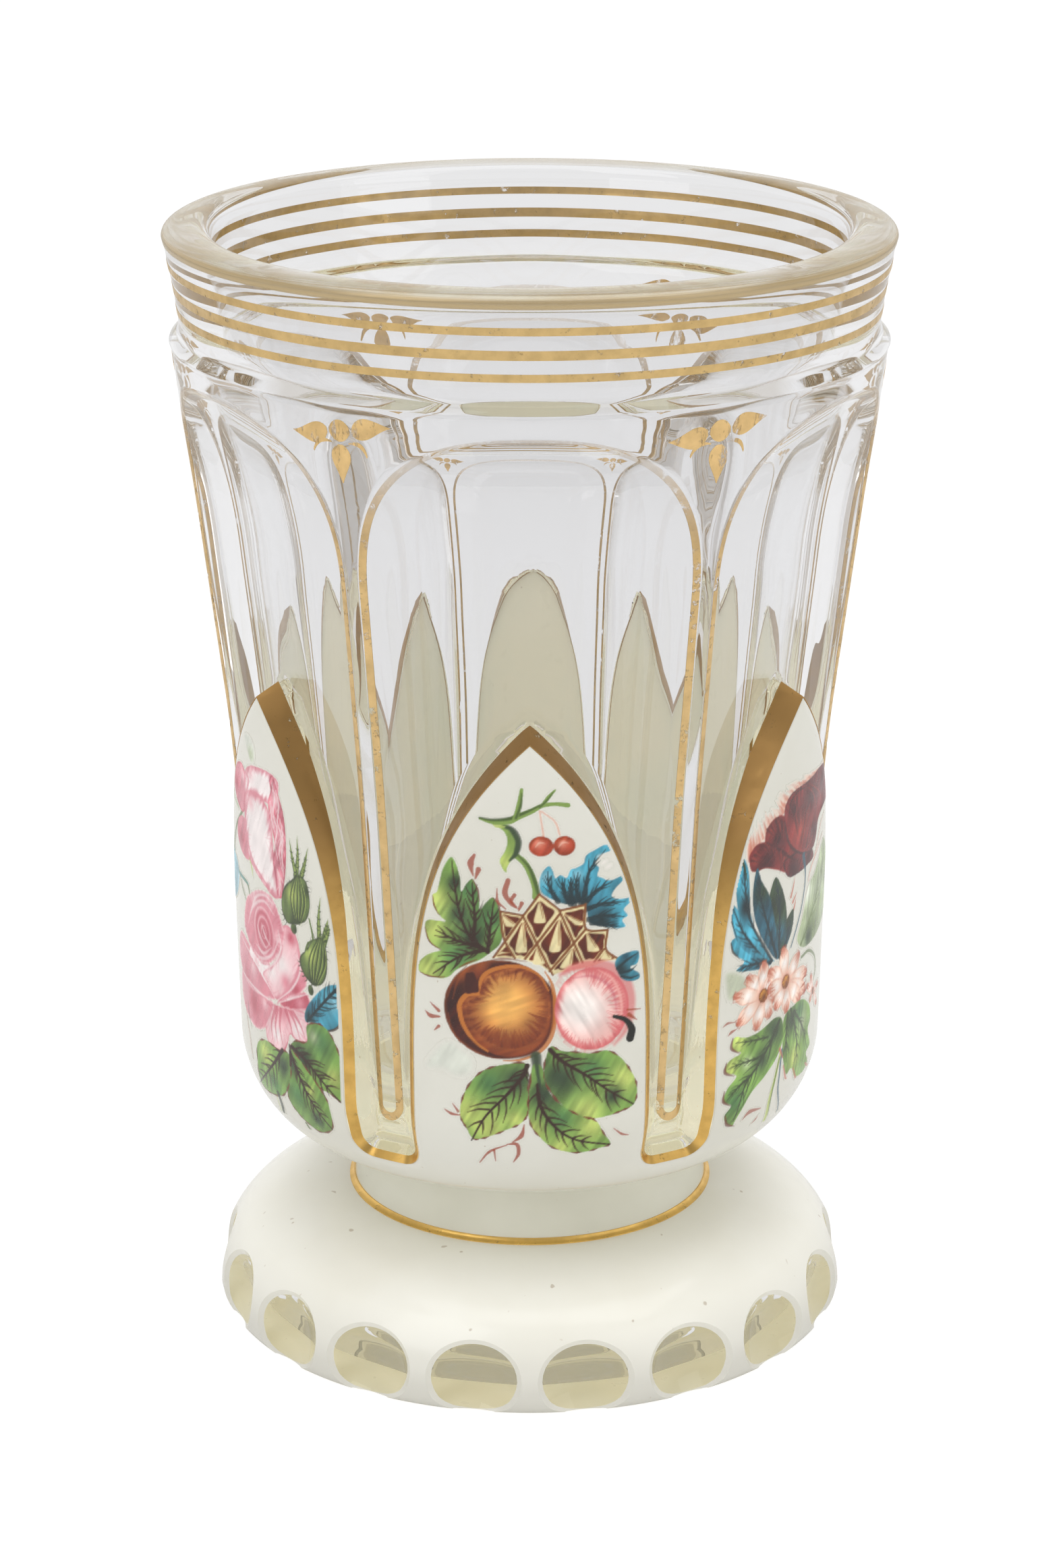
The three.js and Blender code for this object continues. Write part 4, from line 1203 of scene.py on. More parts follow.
    stroke(canvas, path("19 597 28 580 32 555 31 527 26 506 13 489 -11 478 -34 476"),
            (0.2, 0.46, 0.66, 0.66, 0.53, 0.39, 0.16), "ochre", 0.9)
    stroke(canvas, path("24 583 28 555 27 524 19 503 -1 485 -27 480 -54 484 -78 504"), (0.1, 0.35, 0.45, 0.3, 0.2),
            "plum", 0.55, 0.3)
    patch(canvas, path("-82 589 -77 593 -71 593 -67 582 -65 569 -73 566 -82 566"), "plum", grain=0.1)
    # peach
    patch(canvas, ellipseOf(8, 54.4, 4.84, 5.59, 18), "peachPale", dabs("cream 69 543 39, cream 59 551 26"),
            ("peach", 1.0), 0.12, lean=120)
    stroke(canvas, path("39 592 55 601 78 604 102 598 121 580 130 555 130 530 124 510 110 493"),
            (0.46, 0.99, 1.18, 1.45, 1.64, 1.45, 1.12, 0.72, 0.33), "peach", 0.75, 0.7)
    outer = path("34 580 45 596 68 602 92 599 113 583 123 559 126 534 119 510 104 494 83 486 59 490 42 504 33 524")
    hatch(canvas, outer, (7.2, 54.4), 70, 1.3, "peach", 0.4, 0.25)
    hatch(canvas, path("72 600 95 592 113 574 122 549 122 524 114 505"), (6.9, 54.5), 60, 2.2, "peach", 0.34, 0.5)
    hatch(canvas, path("39 508 56 494 80 489 104 496"), (7.2, 54.4), 34, 1.1, "peach", 0.3, 0.45, 0.3)
    stroke(canvas, path("87 596 106 582 116 560 119 538 114 520"), (0.1, 0.32, 0.4, 0.3, 0.1), "peachPale", 0.8, 0.3)
    stroke(canvas, path("55 587 79 588 99 576 109 557 112 539"), (0.1, 0.35, 0.4, 0.3, 0.1), "roseDeep", 0.45, 0.4)
    stroke(canvas, path("109 531 124 525 133 512 131 499"), (0.46, 0.66, 1.05, 1.12), "black")
    # small blue leaf on the peach
    patch(canvas, path("109 602 114 611 126 616 140 616 142 609 139 599 130 595 142 586 142 578 130 576 120 580 "
            "113 590"), "teal", dabs("tealInk 118 593 12, tealDeep 123 610 8"), grain=0.3)
    strokes(canvas, paths("112 595 126 606 140 613 / 116 589 130 591 139 597 / 118 584 130 581 142 583"),
            (0.4, 0.35, 0.08), "tealInk", 0.8)
    # three leaves below
    stroke(canvas, path("8 482 11 450 14 421"), (1.45, 0.99, 0.59), "leafShade", 0.9, 0.4)
    leaf(canvas, path("-4 472 -27 472 -51 466 -68 455 -82 436 -90 414 -91 396 -84 382 -75 366 -62 367 -45 374 "
            "-28 382 -14 389 -4 400 -1 418 -2 443"), path("-3 470 -10 454 -31 428 -58 398 -77 363"),
            dabs("leafLight -82 404 26, leafLight -52 381 22, leafDeep -51 445 18, leafShade -17 450 22, "
            "leafLight -18 396 14"), 8, 3.4)
    leaf(canvas, path("4 471 0 443 -2 414 1 389 13 371 30 355 55 346 76 346 93 350 108 355 97 373 88 389 70 401 "
            "46 413 29 428 21 446 16 468"), path("11 443 14 414 33 385 61 365 107 354"),
            dabs("leafLight 6 382 18, leafLight 81 382 20, leafShade 19 429 22, leafDeep 40 396 16, "
            "leafLight 40 354 16"), 8, 2.8)
    leaf(canvas, path("27 496 39 490 59 487 80 484 100 486 118 475 130 459 140 440 142 422 137 407 119 400 98 395 "
            "77 395 57 404 40 417 26 435 19 453 19 475"), path("26 491 43 474 73 454 104 430 137 408"),
            dabs("leafLight 125 446 22, leafLight 74 405 24, leafShade 39 453 28, leafDeep 80 461 16, "
            "leafShade 108 423 12"), 9, 3.4)
    stroke(canvas, path("8 482 10 461 16 425"), (0.66, 0.46, 0.26), "leafShade", 0.9, 0.3)
    for line, widths in ((path("-69 750 -74 738 -71 722"), (0.39, 0.92, 0.16)),
            (path("-64 731 -68 719"), (0.72, 0.26)),
            (path("-27 718 -31 701 -23 687 -14 680"), (0.66, 0.79, 0.53, 0.13)),
            (path("-41 707 -40 690 -30 680"), (0.16, 0.39, 0.2)),
            (path("-19 699 -23 691 -16 683"), (0.53, 0.46, 0.16)), (path("-10 688 -14 678"), (0.59, 0.2)),
            (path("-112 404 -103 399 -92 398"), (0.16, 0.46, 0.2)), (path("-101 413 -94 403"), (0.16, 0.39)),
            (path("-136 536 -129 530 -117 530"), (0.16, 0.66, 0.33)), (path("-129 548 -118 538"), (0.16, 0.53)),
            (path("-124 511 -118 517"), (0.16, 0.46)), (path("127 538 145 537"), (0.26, 0.16)),
            (path("129 531 140 523"), (0.59, 0.16)), (path("111 377 122 368 132 365"), (0.16, 0.39, 0.16)),
            (path("-7 389 -11 373 -23 363"), (0.16, 0.66, 0.13)),
            (path("-30 360 -17 360 -15 346 -22 332"), (0.16, 0.59, 0.53, 0.16)),
            (path("-68 329 -53 348 -30 359"), (0.16, 0.39, 0.16)), (path("-47 350 -46 333"), (0.33, 0.16))):
        stroke(canvas, line, widths, "russet", 0.85)
    return canvas


def paintRoses():
    canvas = newCanvas(23)
    patch(canvas, path("-39 830 -25 835 -11 826 -10 807 -20 801 -29 812"), "mist", dabs("sage -21 811 10"), soft=0.5,
            strength=0.7)
    stroke(canvas, path("-114 814 -129 767 -109 735 -80 722"), (0.2, 0.4, 0.5), "sage", 0.8)
    stroke(canvas, path("-61 722 -97 690 -121 648 -93 629 -56 625 -47 612"), (0.5, 0.45, 0.45, 0.6, 0.4), "moss", 0.9)
    stroke(canvas, path("-118 656 -117 631 -84 627 -51 625"), (0.3, 0.9, 0.5, 0.2), "teal", 0.7, 0.4)
    patch(canvas, path("-142 648 -106 644 -94 625 -111 594 -141 578 -172 587 -155 618"), "tealPale",
            dabs("teal -118 606 12"), grain=0.3, strength=0.85)
    stroke(canvas, path("-93 629 -79 612 -61 597"), (0.3, 0.5, 0.3), "moss", 0.8)
    # upper rose, seen from its side
    patch(canvas, path("-83 777 -69 787 -54 789 -44 781 -42 764 -48 740 -54 723 -70 722 -89 736 -95 755"), "rose",
            dabs("roseDeep -80 755 13, rosePale -51 774 9"), ("roseDeep", 0.5))
    patch(canvas, path("-84 704 -60 716 -42 706 -36 683 -34 665 -57 659 -80 667 -91 683"), "rose",
            dabs("roseDeep -71 683 13"), ("rose", 0.4))
    stroke(canvas, path("-42 665 -34 652 -32 641"), (0.3, 0.5, 0.1), "leafLight", 0.8)
    petal(canvas, path("-42 783 -26 794 -4 799 21 801 40 799 51 792 48 775 34 759 6 758 -23 757 -46 751 -48 766"),
            "petalWhite", dabs("rosePale -26 787 11, petalWhite 8 778 16"), ("rose", 1.1), (0.8, 77), 22, 2.0)
    petal(canvas, path("-44 751 -20 762 7 759 25 747 31 725 33 701 38 670 45 641 36 632 23 633 3 642 -21 652 -42 665 "
            "-50 689 -53 719"), "petalWhite", dabs("petalWhite 6 714 22, rosePale -27 743 9"), ("rose", 1.4),
            (0.9, 70.8), 40, 2.2)
    patch(canvas, path("37 799 44 790 51 775 59 757 63 734 63 706 60 677 54 652 47 636 38 639 35 663 31 683 37 705 "
            "32 725 26 744 25 761 32 777 30 791"), "rose", dabs("roseDeep 48 743 12, roseDeep 54 689 11, "
            "rosePale 43 767 8"), ("roseDeep", 0.4), 0.2)
    for line in paths("36 789 41 769 36 747 44 728 38 706 43 686 / 45 781 50 761 46 739 53 720 47 698 52 674 / "
            "31 763 32 739 38 723 / 52 745 56 725 53 696 55 668 / 40 674 46 659 42 636"):
        stroke(canvas, line, (0.1, 0.3, 0.3, 0.1), "petalWhite", 0.75)
        sideStrokes(canvas, line, 5, 1.3, "rosePale", 0.24, 35, strength=0.7)
    strokes(canvas, paths("-39 746 -49 715 -45 688 -29 664 -4 651 24 638 / -35 751 -16 760 7 760 21 750 / -42 782 "
            "-32 773 -42 752"), (0.15, 0.4, 0.5, 0.2), "rose", 0.8, 0.3)
    # lower rose
    petal(canvas, path("10 477 44 484 74 492 93 488 95 470 92 452 71 446 55 451 48 435 37 422 15 417 -6 422 "
            "-10 444"), "rosePale", dabs("petalWhite 21 440 13, petalWhite 72 463 13, rose 41 479 16"),
            ("rose", 0.35), (2.8, 48.5), 26, 2.6, "rose", 0.5)
    strokes(canvas, paths("20 476 7 450 9 428 / 34 478 30 454 35 430 / 47 481 56 465 61 449 / 62 485 78 472 87 457 / "
            "25 477 18 450 23 426 / 55 485 68 469 77 450"), (0.75, 0.35, 0.08), "roseDeep", 0.6)
    stroke(canvas, path("-6 421 15 417 37 422 48 437"), (0.1, 0.3, 0.3, 0.1), "roseDeep", 0.7)
    petal(canvas, path("-104 489 -67 482 -21 482 15 482 7 460 -18 435 -49 426 -85 432 -110 452"), "rose",
            dabs("roseDeep -48 460 17, rosePale -10 473 9"), ("rosePale", 0.45), (0.2, 47.7), 18, 2.4, "roseDeep")
    petal(canvas, path("33 489 61 505 91 520 101 509 92 495 68 488 44 484"), "roseDeep", dabs("rose 80 501 10"),
            ("rosePale", 0.4), (3.5, 48.9), 12, 2.0, "roseDeep")
    petal(canvas, path("79 567 90 559 96 542 92 526 75 511 45 495 26 486 46 508 71 531"), "rose",
            dabs("roseDeep 73 517 11, rosePale 84 556 10"), ("rosePale", 0.4), (3.5, 49.1), 16, 2.2, "roseDeep")
    petal(canvas, path("-102 543 -73 543 -45 531 -17 519 7 505 22 490 -13 482 -61 478 -101 488 -118 511"), "rose",
            dabs("rosePale -46 511 12, roseDeep -78 489 12"), ("rosePale", 0.4), (1.8, 48.9), 20, 2.6, "rose")
    petal(canvas, path("36 589 53 601 65 601 77 593 83 577 84 558 76 535 55 511 26 490 4 499 -16 514 15 535 39 562"),
            "rosePale", dabs("petalWhite 42 540 20, petalWhite 14 524 14, roseDeep 66 587 10, rose 50 521 12"),
            ("rose", 0.7), (3, 50.4), 30, 2.6)
    petal(canvas, path("-50 542 -16 530 11 533 -10 513 8 501 -11 505 -37 516 -60 526"), "petalWhite",
            dabs("rosePale -35 522 9"), ("rose", 0.4), (-1.7, 52.5), 10, 1.4)
    petal(canvas, path("-64 598 -44 614 -14 629 15 632 31 624 44 605 51 586 41 563 20 542 -8 529 -36 531 -59 542 "
            "-77 562"), "rose", dabs("rosePale -33 613 12, roseDeep -4 572 22, rosePale 35 577 10, "
            "rosePale 19 624 10"), ("rosePale", 0.5), (-0.4, 57.2), 40, 2.4, "roseDeep", 0.35)
    heart = (-0.4, 57.4)
    for across, up, colour, width in ((1.91, 3.29, "rosePale", 0.35), (1.51, 2.63, "roseDeep", 0.45),
            (1.18, 2.04, "rosePale", 0.25), (0.86, 1.45, "roseDeep", 0.4), (0.46, 0.86, "rosePale", 0.2)):
        ring = ellipseOf(heart[0], heart[1], across * 1.5, up, 12)
        stroke(canvas, ring[:9], (0.05, width, width, 0.08), colour, 0.75, 0.25)
        stroke(canvas, ring[7:] + ring[:2], (0.05, width, 0.08), colour, 0.6, 0.25)
    strokes(canvas, paths("-48 586 -24 616 5 627 26 621 / -59 568 -35 600 1 618 28 607 / -43 538 -16 534 16 548 "
            "35 574 / -32 549 -7 544 17 559 / -10 584 0 570 14 560 / -24 577 -13 562 2 553"), (0.1, 0.45, 0.4, 0.1),
            "petalWhite", 0.6, 0.3)
    strokes(canvas, paths("36 589 41 565 22 539 -18 514 / 78 567 83 547 65 518 28 490 / -103 538 -54 526 -10 509 "
            "22 489 / -101 486 -50 483 15 482 / 33 488 69 506 97 519"), (0.08, 0.3, 0.3, 0.1), "petalWhite", 0.7,
            0.25)
    stroke(canvas, path("-78 452 -76 435 -68 419"), (0.1, 0.3, 0.1), "mossDeep", 0.6)
    stroke(canvas, path("-92 440 -87 420 -75 395 -72 373"), (0.1, 0.25, 0.25, 0.1), "russet", 0.6)
    # two thorny buds
    for stem, outline, tips, knob, size in (
            (path("105 624 110 606 111 595"), path("56 655 70 667 85 677 100 675 106 661 107 640 99 620 81 610 "
                "60 606 49 617 48 636"), paths("82 672 87 703 87 730 / 91 674 100 696 107 719 / 84 672 76 697 "
                "71 723"), (7.3, 60.2), (0.66, 0.72)),
            (path("109 595 101 589 96 579"), path("96 579 110 596 125 603 133 596 136 577 134 555 125 540 109 534 "
                "92 543 83 557 85 569"), paths("123 597 123 628 127 658 / 129 596 134 615 140 634 / 131 597 138 613 "
                "141 627"), (10.3, 52.6), (0.56, 0.72))):
        stroke(canvas, stem, (0.3, 0.4, 0.4), "moss")
        for tip in tips:
            stroke(canvas, tip, (1.0, 0.6, 0.08), "moss")
            stroke(canvas, tip, (0.4, 0.2, 0.05), "leafLight", 0.6)
            sideStrokes(canvas, tip, 5, 0.6, "mossDeep", 0.16, 70)
        spots = [("leafLight", *(np.mean(outline, 0) + (-0.6, 0.6)), 1.2), ("mossDeep", *outline[7], 1.3),
                ("mossDeep", *outline[4], 0.9)]
        patch(canvas, outline, "moss", spots, ("mossDeep", 0.35), 0.2, 90)
        top, low = outline[2], outline[7]
        for share in (-0.75, -0.4, 0, 0.4, 0.75):
            side = np.array((share * 1.9, 0))
            line = [top + side * 0.25, (top + low) / 2 + side, low + side * 0.3]
            stroke(canvas, line, (0.1, 0.3, 0.12), "mossDeep", 0.8)
            stroke(canvas, [p + (0.22, 0) for p in line], (0.05, 0.16, 0.05), "leafLight", 0.7)
        sideStrokes(canvas, outline[:6], 9, 0.7, "mossDeep", 0.16, 80, (1,))
        sideStrokes(canvas, outline[7:], 6, 0.7, "mossDeep", 0.16, 80, (1,))
        shade = [("mossDeep", knob[0] + 0.3, knob[1] - 0.2, 0.6)]
        patch(canvas, ellipseOf(*knob, *size, 10), "moss", shade, ("mossDeep", 0.2))
    # blue leaf
    patch(canvas, path("89 490 99 507 123 532 141 543 155 543 158 529 159 508 151 489 137 479 120 479 103 481 "
            "91 479"), "teal", dabs("tealDeep 106 502 16, tealPale 145 519 14, tealInk 98 487 9"), grain=0.3,
            lean=120)
    stroke(canvas, path("94 481 116 504 139 528 156 545"), (0.4, 0.35, 0.5), "tealInk")
    sideStrokes(canvas, path("94 481 116 504 139 528 156 545"), 9, 2.4, "tealInk", 0.24, 45)
    stroke(canvas, path("157 540 160 512 151 488 134 478 115 478"), (0.1, 0.3, 0.35, 0.1), "vein", 0.85)
    # leaves below
    leaf(canvas, path("92 474 115 483 134 477 147 459 153 435 155 410 152 384 135 390 115 393 90 400 69 415 54 431 "
            "65 445 91 451"), path("58 434 87 424 114 407 151 383"),
            dabs("leafLight 141 414 15, leafShade 81 426 22, leafDeep 119 459 20, sage 104 462 10"), 9, 3.4)
    leaf(canvas, path("54 428 75 421 101 403 120 387 129 371 126 337 94 321 69 327 51 338 39 353 40 376 44 404"),
            path("53 425 74 395 96 365 125 335"), dabs("leafDeep 64 369 18, leafLight 95 383 10, "
            "leafShade 99 342 12, leafShade 54 410 13"), 9, 2.4)
    leaf(canvas, path("-34 413 -7 421 23 419 47 423 53 407 50 384 30 358 0 345 -43 338 -58 348 -49 378 -48 397"),
            path("34 422 10 396 -20 370 -65 340"), dabs("leafLight -17 401 18, leafShade 35 400 16, "
            "leafDeep 6 365 14"), 7, 2.8)
    stroke(canvas, path("52 435 53 425 52 406"), (0.4, 0.5, 0.3), "vein", 0.9)
    stroke(canvas, path("8 351 6 331 -16 303"), (0.9, 0.8, 0.3), "mossDeep", 0.9, 0.3)
    stroke(canvas, path("-1 343 -9 322 -30 299"), (0.3, 0.3, 0.1), "leafLight", 0.6)
    stroke(canvas, path("64 324 68 310 70 296"), (0.6, 0.5, 0.1), "moss", 0.9)
    stroke(canvas, path("-9 309 -42 305"), (0.4, 0.1), "sage", 0.7)
    return canvas


def paintPoppy():
    canvas = newCanvas(37)
    patch(canvas, path("-145 557 -133 558 -114 547 -107 531 -125 522 -140 524 -144 540"), "sage", soft=1.0,
            strength=0.55)
    # haze of fine strokes above the poppy
    for reach, width, strength, colour in ((2.6, 1.1, 0.3, "blush"), (2.2, 0.6, 0.35, "brickPale"),
            (1.7, 0.4, 0.4, "blushDeep")):
        hatch(canvas, path("-111 704 -106 717 -89 726 -71 741 -46 750 -35 762 -9 773 22 776 60 777 99 775"),
                (-12.2, 83.4), 34, reach, colour, width, strength)
    patch(canvas, path("-111 700 -111 711 -98 722 -78 721 -57 715 -13 698 28 679 5 668 -13 665 -33 667 -51 675 "
            "-79 685 -94 685 -106 688"), "poppy", dabs("poppyRed -32 688 16, poppyDeep -74 695 17, "
            "poppyRed -100 701 8"), ("poppyRed", 0.3), 0.28, 30)
    patch(canvas, path("-37 684 -1 686 42 678 54 662 29 657 0 655 -22 657 -33 667"), "poppy",
            dabs("poppyDeep -10 666 15, poppyDeep 34 668 10"), ("poppyDeep", 0.4), 0.25)
    patch(canvas, path("-82 721 -80 736 -67 747 -48 749 -35 739 -35 722 -25 702 -30 693 -57 706 -75 714"), "poppy",
            dabs("poppyRed -71 732 9, poppyDeep -50 716 15"), ("poppyRed", 0.3), 0.28, 60)
    patch(canvas, path("-39 758 -22 772 16 775 39 777 72 782 105 775 137 756 134 733 97 722 69 710 61 686 46 674 "
            "13 679 -16 695 -32 716 -40 739"), "poppy", dabs("poppyRed 4 716 22, poppyDeep 37 757 22, "
            "poppyDeep -17 749 13, poppyDeep 80 765 16, poppyDeep 49 700 12"), ("poppyDeep", 0.3), 0.28, 70)
    strokes(canvas, paths("-37 754 -19 768 14 769 42 752 52 731 41 710 / 22 772 64 749 81 729 / -36 740 -29 717 "
            "-9 695 19 681 46 691 53 713"), (0.1, 0.28, 0.28, 0.1), "poppyRed", 0.6)
    strokes(canvas, paths("-30 742 -25 761 -5 770 23 767 / -39 737 -32 714 -18 696 11 680 46 673 / -80 721 -55 706 "
            "-29 692 / -57 706 -32 690 0 673"), (0.12, 0.4, 0.4, 0.12), "poppyDeep", 0.9)
    for line, target in ((path("-108 703 -91 720 -64 711 -26 686"), (-4.4, 67.6)),
            (path("-79 738 -55 747 -35 729"), (-4, 70.3)), (path("-38 758 -5 772 35 774 92 776"), (1, 69.1)),
            (path("-16 734 5 746 40 732"), (0.7, 68.5))):
        hatch(canvas, line, target, 26, 2.4, "poppyRed", 0.26, 0.35)
        hatch(canvas, line, target, 20, 2.8, "poppyDeep", 0.3, 0.45)
    # grey-green leaf at the right
    strokes(canvas, paths("56 656 77 670 96 682 / 46 648 65 667 81 697 100 709 / 39 633 44 645 56 656"),
            (0.2, 0.3, 0.08), "brickPale", 0.6)
    patch(canvas, path("9 563 16 576 26 594 33 613 46 630 62 636 79 650 96 667 109 670 133 637 133 608 138 581 "
            "130 558 100 547 63 542 34 543 17 551"), "sage", dabs("leafShade 49 554 15, mist 35 619 18, "
            "moss 76 562 18"), grain=0.25, lean=80)
    stroke(canvas, path("22 551 53 578 84 610 112 658"), (0.5, 0.35, 0.15), "moss", 0.8)
    sideStrokes(canvas, path("22 551 53 578 84 610 112 658"), 9, 3.0, "moss", 0.3, 28, strength=0.6)
    stroke(canvas, path("18 675 27 643 21 610 7 582 -9 557"), (0.9, 0.4, 0.35, 0.4, 0.3), "tealDeep", 0.85)
    strokes(canvas, paths("-15 628 -9 642 -6 654 / -9 619 2 630 / -5 609 0 622"), (0.5, 0.35, 0.06), "blushDeep", 0.8)
    # fan of blue leaves
    fans = (
        (path("-139 599 -130 604 -109 586 -82 567 -56 551 -73 548 -102 552 -128 559 -114 568 -133 583"), "teal",
            dabs("tealDeep -82 555 18"), path("-127 559 -98 560 -59 551")),
        (path("-140 653 -127 639 -110 609 -83 581 -56 554 -82 564 -109 579 -130 601 -138 627"), "teal",
            dabs("tealDeep -104 590 16"), path("-138 648 -120 612 -94 582 -59 555")),
        (path("-8 610 -5 593 -12 574 -24 560 -37 546 -38 571 -31 593"), "leafShade", dabs("tealDeep -23 574 12"),
            path("-9 605 -20 576 -35 549")),
        (path("-54 667 -38 646 -27 621 -23 595 -28 568 -39 549 -50 575 -60 606 -68 636 -65 653"), "leafShade",
            dabs("tealDeep -37 585 17"), path("-54 661 -43 622 -40 554")),
        (path("-95 690 -85 670 -68 647 -57 619 -47 585 -41 553 -53 557 -77 586 -94 615 -102 645 -101 673"),
            "tealDeep", dabs("leafShade -82 655 16"), path("-94 684 -84 641 -46 556")),
        (path("-126 711 -118 706 -111 687 -108 662 -105 633 -92 601 -66 566 -49 550 -75 564 -105 597 -124 627 "
            "-132 660 -130 688"), "teal", dabs("tealInk -112 641 15"), path("-121 707 -116 663 -103 618 -56 553")),
    )
    for outline, colour, spots, rib in fans:
        patch(canvas, outline, colour, spots, grain=0.35, lean=75)
        stroke(canvas, rib, (0.15, 0.35, 0.5), "tealInk", 0.9)
        sideStrokes(canvas, rib[::-1], 7, 2.0, "tealInk", 0.24, 26, strength=0.7)
    stroke(canvas, path("-124 711 -120 699 -114 677"), (0.5, 0.4, 0.1), "mossDeep", 0.9)
    stroke(canvas, path("-139 599 -135 586 -123 574"), (0.2, 0.4, 0.1), "vein", 0.7)
    stroke(canvas, path("-141 650 -138 627 -128 600"), (0.1, 0.3, 0.1), "tealInk", 0.8)
    # two pale daisies and one beyond
    stroke(canvas, path("26 532 53 532 82 515 92 493 83 480"), (0.5, 0.5, 0.4, 0.3), "moss", 0.85)
    flowers = (
        ((8.3, 46.5), path("53 483 69 492 113 465 111 437 69 456"), 1.2),
        ((-7.2, 51), path("-102 525 -107 544 -74 557 -54 529 -49 496 -56 476 -86 467 -123 484 -130 524"), 2.3),
        ((-1.9, 51.3), path("-61 540 -29 563 18 540 48 505 46 479 27 473 -14 469 -44 483 -61 513"), 2.3),
    )
    for heart, tips, width in flowers:
        heart = np.array(heart)
        for tip in tips:
            tip = np.array(tip)
            way = (tip - heart) / np.linalg.norm(tip - heart)
            side = np.array((-way[1], way[0])) * width / 2
            low, high = heart + (tip - heart) * 0.35, heart + (tip - heart) * 0.75
            outline = [heart, low + side * 0.8, high + side, tip + side * 0.25, tip - side * 0.2, high - side,
                    low - side * 0.8]
            spots = [("blushDeep", *(tip + way * 0.2), 0.9), ("blushDeep", *heart, 1.1),
                    ("cream", *(heart * 0.45 + tip * 0.55), 0.9)]
            patch(canvas, outline, "blush", spots, ("blushLine", 0.3), 0.14)
            hatch(canvas, [tip + side * 0.7, tip, tip - side * 0.7], heart, 7, 1.6, "blushDeep", 0.24, 0.55)
            stroke(canvas, [tip + side * 0.6, tip + way * 0.15, tip - side * 0.5], (0.1, 0.4, 0.1), "russet", 0.55)
        shade = [("heartDeep", heart[0] + 0.2, heart[1] - 0.3, 0.6)]
        patch(canvas, ellipseOf(*heart, 0.42 * width, 0.4 * width, 10), "heart", shade, ("heartDeep", 0.25), 0.4)
        hatch(canvas, ellipseOf(*heart, 0.4 * width, 0.4 * width, 10), heart, 16, 0.5, "heartDeep", 0.2, 0.8)
    strokes(canvas, paths("28 488 40 490 50 492 / 32 476 46 478 58 480 / 32 498 43 500 53 498"), (0.1, 0.35, 0.1),
            "russet", 0.75)
    # leaves below
    patch(canvas, path("9 471 39 469 68 450 76 429 66 416 80 392 64 384 80 365 64 356 28 363 9 382 -5 378 -17 402 "
            "-21 432 -19 463"), "leaf", dabs("sage 39 437 18, leafShade 3 454 17, leafLight 17 394 18, "
            "leafDeep 27 456 14"), grain=0.3, lean=80)
    for line in paths("-1 469 17 434 25 402 25 368 / 10 462 42 429 65 391 / -9 465 -11 433 -7 395"):
        stroke(canvas, line, (0.5, 0.35, 0.12), "mossDeep", 0.8)
        sideStrokes(canvas, line, 5, 1.8, "mossDeep", 0.24, 35, strength=0.7)
    strokes(canvas, paths("-16 394 -7 375 0 370 / 16 379 31 361 37 360 / 67 368 83 359 93 356"), (0.3, 0.5, 0.1),
            "blushDeep", 0.75)
    patch(canvas, path("-45 470 -27 465 -21 450 -22 428 -36 411 -63 394 -89 380 -107 356 -113 346 -117 338 -132 347 "
            "-138 360 -128 372 -143 382 -137 398 -121 412 -142 423 -135 437 -114 442 -130 451 -127 467 -103 461 "
            "-76 462"), "leaf", dabs("leafLight -120 458 17, leafLight -133 426 17, leafDeep -122 376 18, "
            "leafShade -43 454 22, leafShade -70 419 16, sage -101 425 10"), grain=0.3, lean=50)
    ribs = path("-31 463 -51 439 -79 414 -104 393 -117 346")
    stroke(canvas, ribs, (0.6, 0.45, 0.3, 0.2), "mossDeep", 0.9)
    sideStrokes(canvas, ribs, 8, 2.6, "mossDeep", 0.28, 34, strength=0.75)
    for line in paths("-58 448 -92 453 -125 459 / -79 425 -111 427 -137 426 / -99 402 -119 394 -137 382"):
        stroke(canvas, line, (0.35, 0.25, 0.1), "mossDeep", 0.8)
        sideStrokes(canvas, line, 4, 1.3, "mossDeep", 0.2, 32, strength=0.7)
    strokes(canvas, paths("-130 467 -132 453 -116 442 / -140 435 -142 422 -125 413 / -142 396 -143 382 -129 372 / "
            "-136 359 -129 344 -110 336"), (0.2, 0.55, 0.1), "edge", 0.8)
    stroke(canvas, path("-21 418 -25 386 -21 358 7 318"), (0.5, 0.4, 0.4, 0.3), "tealDeep", 0.85)
    stroke(canvas, path("-25 415 -36 383 -41 354 -30 316"), (0.5, 0.65, 0.75, 0.8), "leafLight", 0.9)
    stroke(canvas, path("-27 409 -37 379 -37 349 -27 323"), (0.25, 0.3, 0.3, 0.1), "moss", 0.8)
    stroke(canvas, path("-27 421 -18 406"), (0.6, 0.2), "blushDeep", 0.8)
    for line, widths in ((path("-148 486 -140 490 -126 488"), (0.1, 0.4, 0.1)),
            (path("-139 472 -133 476 -123 478"), (0.1, 0.5, 0.1)),
            (path("-98 341 -86 350 -59 347"), (0.1, 0.8, 0.2)), (path("-70 326 -63 331 -59 336"), (0.1, 0.45, 0.1))):
        stroke(canvas, line, widths, "russet", 0.75)
    return canvas


